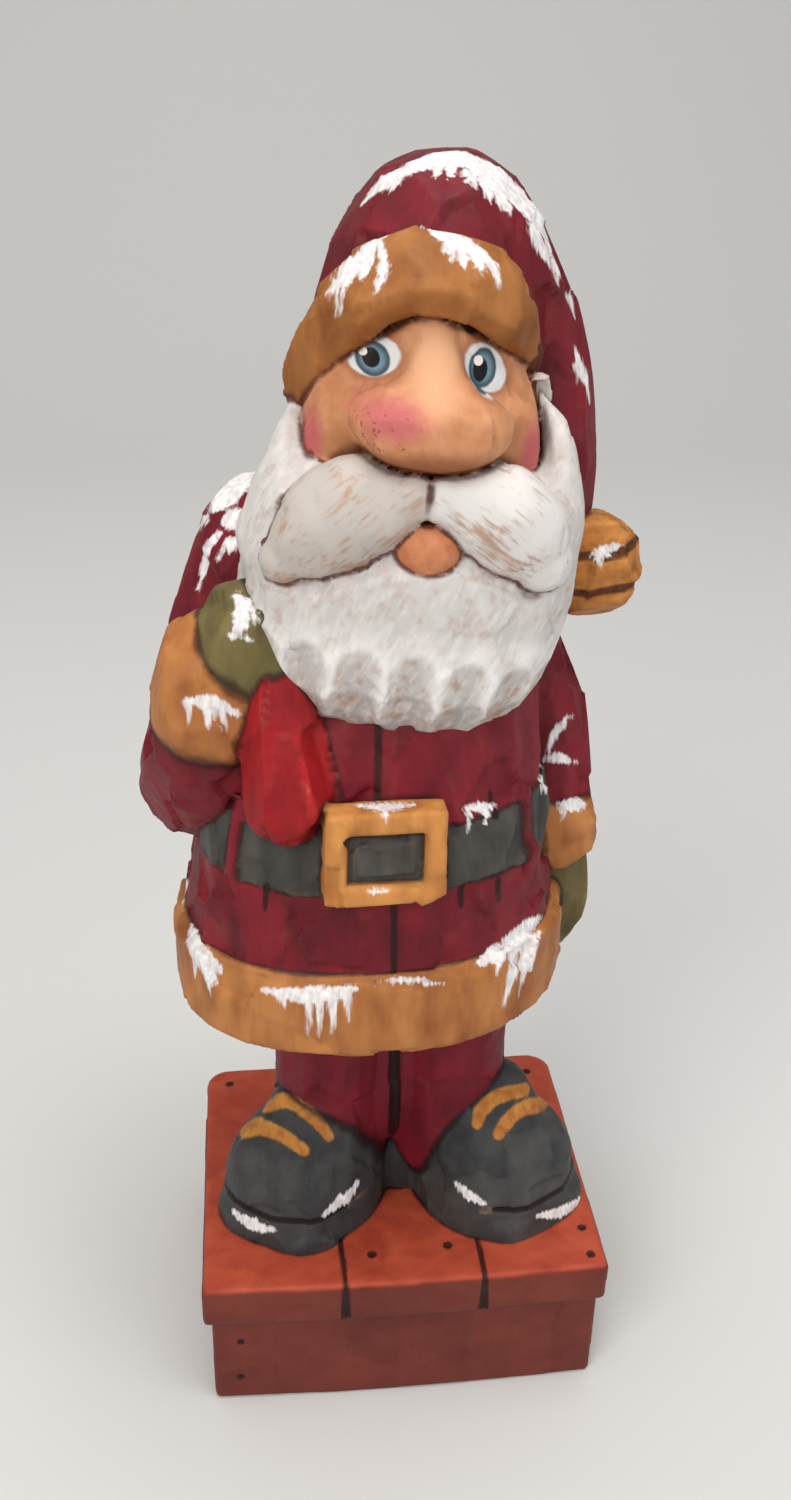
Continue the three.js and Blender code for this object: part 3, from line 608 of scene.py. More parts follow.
class PaintPot:
    """A paint being mixed: its material, and short ways to add to it. Patterns are in mm."""

    def __init__(self, name):
        self.material = bpy.data.materials.new(name)
        self.material.use_nodes = True
        self.tree = self.material.node_tree
        self.tree.nodes.clear()
        self.shader = self.tree.nodes.new("ShaderNodeBsdfPrincipled")
        out = self.tree.nodes.new("ShaderNodeOutputMaterial")
        self.tree.links.new(self.shader.outputs[0], out.inputs["Surface"])
        spot = self.tree.nodes.new("ShaderNodeTexCoord").outputs["Object"]
        scale = self.tree.nodes.new("ShaderNodeMapping")
        scale.inputs["Scale"].default_value = (1000, 1000, 1000)
        self.tree.links.new(spot, scale.inputs["Vector"])
        self.spot = scale.outputs[0]
        self.hollow = self.read("hollow")
        self.edge = self.read("edge")
        self.facet = self.read("facet")

    def feed(self, value, socket):
        if hasattr(value, "links"):
            self.tree.links.new(value, socket)
        else:
            socket.default_value = value

    def read(self, name):
        node = self.tree.nodes.new("ShaderNodeAttribute")
        node.attribute_name = name
        return node.outputs["Fac"]

    def math(self, operation, a, b=0.0):
        node = self.tree.nodes.new("ShaderNodeMath")
        node.operation = operation
        self.feed(a, node.inputs[0])
        self.feed(b, node.inputs[1])
        return node.outputs[0]

    def times(self, a, b):
        return self.math("MULTIPLY", a, b)

    def plus(self, a, b):
        return self.math("ADD", a, b)

    def less(self, a, b):
        return self.math("SUBTRACT", a, b)

    def spread(self, value, low, high, to_low=0.0, to_high=1.0, smooth=True):
        node = self.tree.nodes.new("ShaderNodeMapRange")
        node.interpolation_type = "SMOOTHSTEP" if smooth else "LINEAR"
        self.feed(value, node.inputs["Value"])
        for key, number in (("From Min", low), ("From Max", high), ("To Min", to_low), ("To Max", to_high)):
            node.inputs[key].default_value = number
        return node.outputs["Result"]

    def noise(self, size, stretch=(1, 1, 1), turn=(0, 0, 0), detail=3.0, rough=0.55, shift=0.0):
        place = self.tree.nodes.new("ShaderNodeMapping")
        place.inputs["Location"].default_value = (shift, shift, shift)
        place.inputs["Rotation"].default_value = [math.radians(a) for a in turn]
        place.vector_type = "TEXTURE"
        place.inputs["Scale"].default_value = stretch
        self.tree.links.new(self.spot, place.inputs["Vector"])
        node = self.tree.nodes.new("ShaderNodeTexNoise")
        node.inputs["Scale"].default_value = 1 / size
        node.inputs["Detail"].default_value = detail
        node.inputs["Roughness"].default_value = rough
        self.tree.links.new(place.outputs[0], node.inputs["Vector"])
        return node.outputs["Fac"]

    def mix(self, amount, a, b):
        node = self.tree.nodes.new("ShaderNodeMix")
        node.data_type = "RGBA"
        for value, socket in ((amount, node.inputs[0]), (a, node.inputs[6]), (b, node.inputs[7])):
            self.feed(value, socket)
        return node.outputs[2]

    def brushed(self, dark, light, size=4.0, stretch=(1, 1, 2.2), low=0.25, high=0.75):
        """Two tones of one paint in broad soft patches, with fine streaks as a brush leaves them."""
        patch = self.noise(size, stretch, detail=2, rough=0.45)
        fine = self.noise(0.7, (1, 1, 6), detail=2, shift=17.0)
        both = self.plus(self.times(patch, 0.84), self.times(fine, 0.16))
        both = self.plus(both, self.times(self.less(self.facet, 0.5), 0.3))
        return self.mix(self.spread(both, low, high, smooth=False), colour(dark), colour(light))

    def over(self, base, name, paint):
        """A zone's paint over what is there, with the edge a hand leaves."""
        if not hasattr(self, "shake"):
            self.shake = self.less(self.noise(1.6, detail=2), 0.5)
        lead = self.plus(self.read("is_" + name), self.times(self.shake, EDGE_WOBBLE))
        return self.mix(self.spread(lead, -0.1, 0.1), base, paint)

    def stroke(self, base, name, paint, ragged=0.5, most=1.0):
        """A paint brushed on in strokes, thin and streaky at their edges."""
        streak = self.noise(0.6, (1, 1, 7), detail=2, shift=3.0)
        edge = self.plus(self.read(name), self.times(self.less(streak, 0.5), ragged * 3))
        self.cover = self.times(self.spread(edge, -0.25, 0.32), most)
        return self.mix(self.cover, base, paint)

    def finish(self, base, snow=True, wash_and_shade="#1d0f09", line="#2a0f0c", line_most=0.6, wash_and_shade_most=0.7,
               wear="#c08a62", wear_most=0.25, ridges=0.12):
        """Dark wash and painted shade in hollows and between parts, dark lines at seams, rubbed edges,
        painted snow, and the paint's own surface.
        """
        wash_shade_and_wear_patches = self.noise(3.2, detail=3, rough=0.5, shift=7.0)
        off = self.less(wash_shade_and_wear_patches, 0.5)
        # Hollows and the places between parts are darkened: partly dark wash in the cuts, partly painted
        # shade where the parts shut each other in.
        deep = self.plus(self.hollow, self.times(off, 0.5))
        base = self.mix(self.spread(deep, 0.4, 1.0, 0.0, wash_and_shade_most), base, colour(wash_and_shade))
        seam = self.plus(self.read("seam"), self.times(off, 0.5))
        base = self.mix(self.spread(seam, 0.05, 0.42, line_most, 0.0), base, colour(line))
        dark = self.times(self.spread(self.read("knife"), 0.25, 0.9), 0.9)
        base = self.mix(dark, base, colour(wash_and_shade))
        ridge = self.spread(self.read("rim"), 0.0, 0.09, ridges, 0.0)
        rub = self.math("MAXIMUM", self.spread(self.edge, 0.3, 0.75), ridge)
        rub = self.times(rub, self.spread(wash_shade_and_wear_patches, 0.42, 0.6))
        base = self.mix(self.times(rub, wear_most), base, colour(wear))
        gloss = self.spread(self.noise(3.0, detail=3), 0.3, 0.7, 0.5, 0.64)
        if snow:
            white = self.mix(self.spread(self.noise(0.8, (1, 1, 3), detail=3, shift=11.0), 0.3, 0.7),
                             colour("#cfcacb"), colour("#efedeb"))
            base = self.stroke(base, "snow", white, most=0.97)
            gloss = self.math("MAXIMUM", gloss, self.times(self.cover, 0.7))
        self.feed(base, self.shader.inputs["Base Color"])
        self.feed(gloss, self.shader.inputs["Roughness"])
        self.shader.inputs["Specular IOR Level"].default_value = 0.22
        grain = self.plus(self.noise(0.5, (1, 1, 4), detail=3), self.noise(1.9, detail=2, shift=5.0))
        bump = self.tree.nodes.new("ShaderNodeBump")
        bump.inputs["Strength"].default_value = PAINT_BUMPS
        bump.inputs["Distance"].default_value = 0.0003
        self.feed(grain, bump.inputs["Height"])
        self.feed(bump.outputs[0], self.shader.inputs["Normal"])
        return self.material


# Each stroke, here and for the laces: x, y, z and half width. The points were marked by eye on the
# photograph, and another program cast them on the shape and wrote these rows.
HAT_SNOW = [
    [(-6.3, -2, 185, 0.21), (-4.5, -3.5, 187, 0.97), (-2.1, -4.3, 188.7, 1.21), (0.6, -3.9, 189.8, 1.21),
     (3.7, -3.9, 190.5, 1.21), (6.7, -4.2, 190, 1.58), (9.6, -3.7, 188.6, 1.96), (11.9, -3.8, 186.9, 2.1),
     (14.1, -3.7, 184.9, 1.86), (16.2, -2.6, 182.4, 1.51), (17.7, -2.3, 179.2, 0.35)],
    [(3, -4.5, 189.9, 0.89), (2.5, -5.4, 189.1, 0.55), (2.1, -6.2, 188.4, 0.05)],
    [(4.4, -5.1, 189.7, 0.89), (4.2, -6, 188.9, 0.55), (3.9, -6.9, 188.3, 0.05)],
    [(6.4, -6.4, 188.8, 1.13), (6.5, -7.9, 187.9, 0.7), (6.7, -8.5, 187.1, 0.05)],
    [(8.5, -6.2, 187.8, 1.26), (8.6, -7.7, 186.8, 0.77), (8.9, -8, 185.8, 0.05)],
    [(10.2, -6.5, 186.6, 1.14), (10.6, -7.6, 185.5, 0.7), (10.9, -8.2, 184.5, 0.05)],
    [(14.2, -6.5, 183.2, 0.95), (15.8, -5.9, 180.7, 1.24), (17, -5.2, 178.6, 0.47)],
    [(16.7, -4.8, 180, 0.47), (18.2, -2.6, 177.6, 0.69), (18.5, -3.6, 175.7, 0.13)],
    [(21, -0.2, 173.7, 0.5), (21.7, 0, 172.1, 0.31), (22.2, 0.2, 170.8, 0.05)],
    [(21.9, -1.8, 167.6, 0.22), (23.3, -1.4, 164.1, 0.92), (24.8, -0.7, 160, 0.23)],
    [(21.8, -3, 165.2, 0.63), (22.1, -3.2, 164, 0.39), (22.4, -2.9, 162.9, 0.05)],
    [(-2.4, -4.8, 188.1, 0.89), (-3.1, -5.1, 187.2, 0.55), (-3.7, -5.4, 186.5, 0.05)],
]
BAND_SNOW = [
    [(-4.4, -13.4, 182.6, 0.44), (-6.9, -15, 180.6, 1.16), (-9.2, -14.9, 178.5, 1.05),
     (-11.1, -14.4, 176.4, 0.32)],
    [(-8.5, -15.2, 178.8, 0.55), (-9.7, -16.4, 176.3, 0.64), (-10.3, -15.7, 174.3, 0.14)],
    [(-10.2, -15.2, 177.2, 0.75), (-10.7, -15.2, 176, 0.46), (-11.1, -14.8, 174.9, 0.05)],
    [(-6.9, -15.5, 180, 0.98), (-7.2, -16.3, 178.9, 0.6), (-7.5, -17, 177.9, 0.05)],
    [(-5.1, -15.6, 181.8, 0.43), (-5, -17.5, 179.4, 0.69), (-6.2, -18.6, 176.8, 0.14)],
    [(0.2, -11.2, 183.2, 0.32), (2.4, -16.3, 182.9, 1.16), (5, -16.6, 181.8, 1.16), (7, -17.5, 180.6, 1.04),
     (8.3, -18.2, 179, 0.32)],
    [(2.5, -17.3, 182.1, 0.73), (2.7, -17.8, 181.1, 0.45), (2.9, -18.5, 180.3, 0.05)],
    [(4.2, -17.5, 181.4, 0.73), (4.2, -18.2, 180.4, 0.45), (4.3, -18.7, 179.6, 0.05)],
    [(5.8, -17.6, 180.7, 0.74), (5.9, -18.9, 179.8, 0.45), (6.1, -19.4, 179, 0.05)],
    [(7.7, -18.1, 179.7, 0.74), (8, -18.7, 178.4, 0.46), (8.4, -18.7, 177.3, 0.05)],
]
POMPOM_SNOW = [
    [(25.3, -6.2, 140, 0.24), (27.2, -6.2, 140.8, 0.75), (29.8, -5.5, 141.2, 0.24)],
    [(26.2, -6.8, 140.1, 0.66), (26.2, -7.1, 139.3, 0.41), (26.3, -7.3, 138.6, 0.06)],
]
# Each eye: centre, half sizes and lean of the white; then the iris, the pupil and the glint
EYES = [
    ((-7.6, 10.6, 3.1, 2.3, -0.25), (-7.7, 10.3, 2.1, 1.95), (-7.9, 10.4, 1.05, 1.1),
     (-8.9, 10.9, 0.55, 0.5)),
    ((6.1, 10.6, 2.7, 2.8, 0.35), (5.7, 10.6, 1.85, 2.3), (5.4, 10.4, 0.95, 1.4), (5.1, 11.4, 0.6, 0.6)),
]
BLUSH = [(-5.4, 5.0, 5.6, 3.4, 0.8), (-14.2, -1.0, 1.9, 5.2, 0.85), (13.6, 0.6, 2.0, 5.2, 0.85)]


def head_paint():
    """All the paints of the head, from the hair up to the snow on the hat."""
    pot = PaintPot("head paint")
    streaks = pot.noise(0.9, (1, 1, 6), detail=3, shift=2.0)
    base = pot.mix(pot.spread(streaks, 0.3, 0.5), colour("#a98468"), colour("#dcd6d0"))
    skin = pot.brushed("#b87a52", "#d1956d", 2.6, (1, 1, 1), low=0.3, high=0.7)
    local = pot.tree.nodes.new("ShaderNodeMapping")
    local.vector_type = "TEXTURE"
    local.inputs["Location"].default_value = HEAD_AT
    local.inputs["Rotation"].default_value = [math.radians(a) for a in HEAD_TURN]
    pot.tree.links.new(pot.spot, local.inputs["Vector"])
    split = pot.tree.nodes.new("ShaderNodeSeparateXYZ")
    pot.tree.links.new(local.outputs[0], split.inputs[0])
    x, y, z = split.outputs

    def oval(cx, cz, rx, rz, soft_in=0.9, soft_out=1.06, lean=0.0, ragged=0.0):
        dx, dz = pot.less(x, cx), pot.less(z, cz)
        dx = pot.math("DIVIDE", pot.plus(dx, pot.times(dz, lean)), rx)
        dz = pot.math("DIVIDE", dz, rz)
        r = pot.math("SQRT", pot.plus(pot.times(dx, dx), pot.times(dz, dz)))
        r = pot.plus(r, pot.times(pot.less(ragged_edge, 0.5), ragged))
        return pot.spread(r, soft_in, soft_out, 1.0, 0.0)

    ragged_edge = pot.noise(1.1, detail=3, shift=21.0)
    # A lighter peach down the bridge of the nose: a painted highlight.
    skin = pot.mix(oval(-0.6, 11, 4.6, 6.5, 0.2, 1.1), skin, colour("#d9a37c"))
    # A brown band under the nose bulb: painted shade.
    under = pot.times(oval(0.6, -0.4, 10.5, 3.4, 0.3, 1.1, ragged=0.3), 0.7)
    skin = pot.mix(under, skin, colour("#8f4f2c"))
    for cx, cz, rx, rz, most in BLUSH:
        flush = pot.times(oval(cx, cz, rx, rz, 0.25, 1.1, ragged=0.4), most)
        skin = pot.mix(flush, skin, colour("#bb5762"))
    fleck = pot.times(oval(-6, 3.4, 5.4, 3.6, 0.5, 1.0),
                      pot.spread(pot.noise(0.7, detail=2, shift=31.0), 0.6, 0.68))
    skin = pot.mix(pot.times(fleck, 0.7), skin, colour("#8e2f3c"))
    for (wx, wz, wrx, wrz, lean), (ix, iz, irx, irz), (px, pz, prx, prz), (gx, gz, grx, grz) in EYES:
        # A brown patch round each eye: painted shade in the socket under the fur band.
        socket = pot.times(oval(wx, wz, wrx + 0.9, wrz + 0.8, 0.7, 1.15, lean, 0.3), 0.55)
        skin = pot.mix(socket, skin, colour("#8a4a2a"))
        skin = pot.mix(oval(wx, wz, wrx, wrz, lean=lean, ragged=0.15), skin, colour("#d9dbdb"))
        skin = pot.mix(oval(ix, iz, irx, irz, ragged=0.12), skin, colour("#3c4f58"))
        skin = pot.mix(oval(ix, iz, irx - 0.3, irz - 0.3, 0.6, 1.05), skin, colour("#6a8797"))
        skin = pot.mix(oval(px, pz, prx, prz, ragged=0.1), skin, colour("#0b0c10"))
        skin = pot.mix(oval(gx, gz, grx, grz), skin, colour("#e9e6df"))
    base = pot.over(base, "skin", skin)
    base = pot.over(base, "lip", pot.brushed("#b26a45", "#cb875e", 1.6, (1, 1, 1)))
    combed = pot.mix(pot.spread(x, 0.0, 1.2), pot.noise(0.6, (1, 1, 10), (0, 50, 0), detail=2.5),
                     pot.noise(0.6, (1, 1, 10), (0, -50, 0), detail=2.5))
    thin = pot.plus(combed, pot.times(pot.less(pot.noise(4.5, detail=2, shift=4.0), 0.5), 0.9))
    low_down = pot.spread(pot.plus(z, pot.times(pot.math("ABSOLUTE", x), 0.75)), -4.0, 1.5, 0.16, 0.0)
    top_coat = pot.mix(pot.spread(x, 0.0, 1.2), colour("#bbb3ac"), colour("#d4d0cc"))
    base = pot.over(base, "moustache", pot.mix(pot.spread(pot.less(thin, low_down), 0.12, 0.46),
                                               colour("#b0927f"), top_coat))
    scoop = pot.read("scoop")
    blotch = pot.noise(2.2, detail=3, shift=13.0)
    # The whites turn greyer the deeper the gouge: painted shade in the scoops.
    whites = pot.mix(pot.spread(scoop, 0.2, 1.6), colour("#c6c1bd"), colour("#a29c98"))
    smudge = pot.times(pot.spread(blotch, 0.5, 0.66), pot.spread(scoop, 0.2, 1.2, 0.3, 0.75))
    whites = pot.mix(smudge, whites, colour("#a88066"))
    brushing = pot.noise(1.1, (1, 1, 3), (0, 25, 0), detail=2, shift=19.0)
    whites = pot.mix(pot.spread(brushing, 0.4, 0.75, 0.0, 0.45), whites, colour("#e2deda"))
    # Near white on the ridges between the scoops low on the beard: a painted highlight.
    ridge_highlight = pot.spread(pot.less(scoop, pot.times(brushing, 0.4)), 0.0, 0.5, 0.9, 0.0)
    low_z = pot.spread(z, -20.0, -26.0)
    base = pot.over(base, "beard", pot.mix(pot.times(ridge_highlight, low_z), whites, colour("#f0edea")))
    base = pot.over(base, "hat", pot.brushed("#55101b", "#7a1824"))
    base = pot.over(base, "fur", pot.brushed("#7f4a22", "#b0733c"))
    base = pot.over(base, "gold", pot.brushed("#8a5020", "#d08c48", 2.0, (2.5, 1, 1)))
    shine = pot.times(pot.spread(pot.read("is_gold"), 0.0, 0.2),
                      pot.spread(pot.noise(1.6, shift=41.0), 0.42, 0.62))
    pot.feed(pot.times(shine, 0.75), pot.shader.inputs["Metallic"])
    return pot.finish(base, wash_and_shade="#4a2010", line="#54200c", line_most=0.9)


head = wood_piece("santa_head", [face, lip, hair, beard, moustache, hat, band, pompom],
                  (-27, -28, 116), (36, 24, 193), 0.5,
                  chisel=lambda own, x, y, z: np.select(
                      [own["lip"] < 0.3, own["skin"] < 0.4, own["moustache"] < 0.1, own["beard"] < 0.1],
                      [0.0, 0.6, 0.35, 0.4], 1.0),
                  snow=HAT_SNOW + BAND_SNOW + POMPOM_SNOW)
head = knife_marks(head, head_paint(), 6.0, 0.8, 3.0)
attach(head, "root")
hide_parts("santa_figure")

# Coat, with its fur hem, black belt and square buckle, all cut in the block. Cloth bulges over
# the belt at two folds, and short pleats and a centre seam are knife cuts.

# Each row: height, centre x and y, half width, half depth
COAT = np.array([(72, -5, -4, 27.6, 22.2), (82, -5, -4, 27.6, 22.4), (91, -4.8, -4, 27, 23),
                 (99, -4.4, -3.9, 25.4, 22.2), (108, -4, -3.4, 24, 21.2), (119, -3, -2, 22.6, 19.4),
                 (131, -1.8, 0, 21, 17.2), (142, -0.6, 2, 19, 15), (150, 0, 3, 14.5, 12.5),
                 (156, 0.5, 3, 9, 8)])
COAT_POWER = 2.3
HEM_LOW, HEM_HIGH, HEM_PROUD, HEM_TILT = 72.6, 86.0, 2.0, 0.04
BELT_LOW, BELT_HIGH, BELT_PROUD = 99.0, 107.6, 0.8
COAT_LINE = np.hstack([smooth_line(COAT[:, [1, 2, 0]], 8), smooth_line(COAT[:, 3:], 8)])
COAT_BOX = np.array([(-36, -32, 68), (28, 26, 160)], float)


def coat_at(z):
    """The coat's centre, half width and half depth at a height."""
    return (np.interp(z, COAT_LINE[:, 2], COAT_LINE[:, i]) for i in (0, 1, 3, 4))


def coat_skin(x, y, z):
    """Distance from the coat's skin, with its section read at the spot's height."""
    cx, cy, wide, deep = coat_at(z)
    a, b = np.abs(x - cx) / wide + 1e-5, np.abs(y - cy) / deep + 1e-5
    m = (a ** COAT_POWER + b ** COAT_POWER) ** (1 / COAT_POWER)
    e = 2 * COAT_POWER - 2
    return (m - 1) / np.sqrt((a / m) ** e / wide ** 2 + (b / m) ** e / deep ** 2)


def coat_form(x, y, z):
    return np.maximum(coat_skin(x, y, z), np.maximum(COAT[0, 0] - z, z - COAT[-1, 0]))


def corner_of(a, b):
    """Distance from a square corner, from the distances to its two sides."""
    return np.minimum(np.maximum(a, b), 0) + np.hypot(np.maximum(a, 0), np.maximum(b, 0))


def wrap(low, high, proud, edge, tilt):
    """A band round the coat between two heights, standing proud of it, with rounded edges."""
    def field(x, y, z):
        level = z - tilt * (x + 5)
        a = coat_skin(x, y, z) - proud + edge
        b = np.abs(level - (low + high) / 2) - (high - low) / 2 + edge
        return corner_of(a, b) - edge
    return COAT_BOX[0], COAT_BOX[1], field


def coat_spot(angle, z, out=0.0):
    """A point of the coat's skin at an angle and height."""
    cx, cy, wide, deep = coat_at(z)
    c, n = math.cos(math.radians(angle)), math.sin(math.radians(angle))
    reach = (abs(c) ** COAT_POWER + abs(n) ** COAT_POWER) ** (-1 / COAT_POWER)
    return (cx + c * reach * (wide + out), cy + n * reach * (deep + out), z)


# Each pleat: its angle, and the edge of the belt that it runs away from
PLEATS = [(233, BELT_LOW, -1), (306, BELT_LOW, -1), (294, BELT_LOW, -1), (306, BELT_HIGH, 1)]
PLEAT_START, PLEAT_LENGTH = 0.4, 3.8
pleat_cuts = [knife_line([coat_spot(a, edge + way * PLEAT_START, 0.4),
                          coat_spot(a, edge + way * PLEAT_LENGTH)], (0.5, 0.15)) for a, edge, way in PLEATS]
middle = (BELT_LOW + BELT_HIGH) / 2
coat = zone("coat", [(COAT_BOX[0], COAT_BOX[1], coat_form)], cuts=pleat_cuts + [
    knife_line([coat_spot(a, h) for a, h in ((273.4, 84), (273, 92), (272.2, 99.5))], (0.3, 0.2, 0.35)),
    knife_line([coat_spot(a, h) for a, h in ((266, 107.4), (265, 114), (263, 124))], (0.22, 0.35, 0.3)),
])
FOLD_HALF = 8.4
folds = zone("coat", [limb([coat_spot(a, middle + t * FOLD_HALF, -0.3 * abs(t)) for t in (-1, -0.5, 0.5, 1)],
                           [0.9, 1.7, 1.7, 0.9]) for a in (219, 321)])
hem = zone("fur", [wrap(HEM_LOW, HEM_HIGH, HEM_PROUD, 1.6, HEM_TILT)])
belt = zone("belt", [wrap(BELT_LOW, BELT_HIGH, BELT_PROUD, 0.3, 0.03)])

BUCKLE_AT = np.array([-4.9, -27.2, 105.9])
BUCKLE_SPIN = turn_of((-2, 1, 3))
BUCKLE_HALF, BUCKLE_BAR, BUCKLE_SOFT = (8.2, 7.0), 2.9, 0.35


def slab_of(half_x, half_z, thick, corner=0.0):
    """A thin upright block in the buckle's own frame, its lower left corner cut off."""
    def field(x, y, z):
        p = [BUCKLE_SPIN[0, i] * (x - BUCKLE_AT[0]) + BUCKLE_SPIN[1, i] * (y - BUCKLE_AT[1])
             + BUCKLE_SPIN[2, i] * (z - BUCKLE_AT[2]) for i in range(3)]
        a, b, c = (np.abs(q) - half + BUCKLE_SOFT for q, half in zip(p, (half_x, thick / 2, half_z)))
        d = np.sqrt(np.maximum(a, 0) ** 2 + np.maximum(b, 0) ** 2 + np.maximum(c, 0) ** 2)
        d = d + np.minimum(np.maximum(a, np.maximum(b, c)), 0) - BUCKLE_SOFT
        return np.maximum(d, (p[0] - p[2] - half_x - half_z + corner) * 0.707) if corner else d
    return field


def buckle_frame(x, y, z):
    """A square ring."""
    outer = slab_of(*BUCKLE_HALF, 4.6, corner=1.8)(x, y, z)
    inner = slab_of(BUCKLE_HALF[0] - BUCKLE_BAR, BUCKLE_HALF[1] - BUCKLE_BAR - 0.3, 20)(x, y, z)
    return np.maximum(outer, -inner)


def buckle_middle(x, y, z):
    """The strap seen through the ring, with a raised rectangle."""
    strap = slab_of(BUCKLE_HALF[0] - 1, BUCKLE_HALF[1] - 1, 2.0)(x, y, z)
    raised = slab_of(BUCKLE_HALF[0] - BUCKLE_BAR - 1.2, BUCKLE_HALF[1] - BUCKLE_BAR - 1.5, 3.6)(x, y, z)
    return np.minimum(strap, raised)


BUCKLE_BOX = (BUCKLE_AT - (11, 6, 10), BUCKLE_AT + (11, 6, 10))
buckle = zone("buckle", [(*BUCKLE_BOX, buckle_frame)])
tongue = zone("belt", [(*BUCKLE_BOX, buckle_middle)])

# Arms, carved in the block with the coat. The right is bent up so that its mitten grips the neck of
# the sack; the left hangs straight, its mitten half behind the hem. Each cuff is a roll of fur.
sleeves = zone("coat", [
    limb([(-18.4, 4, 138.8), (-24, 2, 126), (-29.2, 0, 105.4)], [10.2, 9.3, 8.8]),
    limb([(-28.8, 0, 104.6), (-28, -8, 112), (-27, -11.5, 120)], [9.4, 9, 8]),
], blend=2.0)
left_sleeve = zone("coat", [limb([(12, 4, 140), (16.8, 4, 124), (22.2, 3, 110), (23.2, 2, 99)],
                                 [7.4, 7, 6.8, 6.8])])
cuffs = zone("fur", [
    rounded((-26.2, -11.8, 124.2), (9, 9.4, 10.6), (0, 10, 0), 2.3),
    rounded((23, 0.6, 94.6), (7.3, 8, 6.2), power=3),
])
mittens = zone("mitten", [
    rounded((-22.6, -14, 130.8), (6.8, 7.2, 8.8), (0, 12, 0), 2.3),
    limb([(-17.6, -15, 134), (-19.8, -18.2, 130.4)], [3.4, 3.2]),
    rounded((24.0, 1.6, 82), (6.3, 7, 11.2), (0, 4, 0), 2.4),
])

# Sack, carved in the block with the coat and painted scarlet. Its gathered end hangs over the chest
# under the mitten with three flutes cut in it, and the full bag lies on the back.
sack = zone("sack", [
    limb([(-19, -13, 133), (-18.8, -18.4, 125.5), (-17.2, -22.8, 112.6)], [4.4, 5.4, 6.6]),
    limb([(-18, -9, 134), (-16, -1, 142), (-9, 9, 142), (-4, 17, 134)], [3.6, 4.2, 6, 9]),
    rounded((-3.4, 18, 112), (20, 15, 25), power=2.2),
], blend=1.5, cuts=[gouge([(x, y, 132), (x - 0.3, y - 3.6, 122), (x, y - 7.6, 106)],
                          3.2, 1.5, round_end=False)
                    for x, y in ((-22.6, -19.4), (-17.8, -22.2), (-13.4, -19.4))])

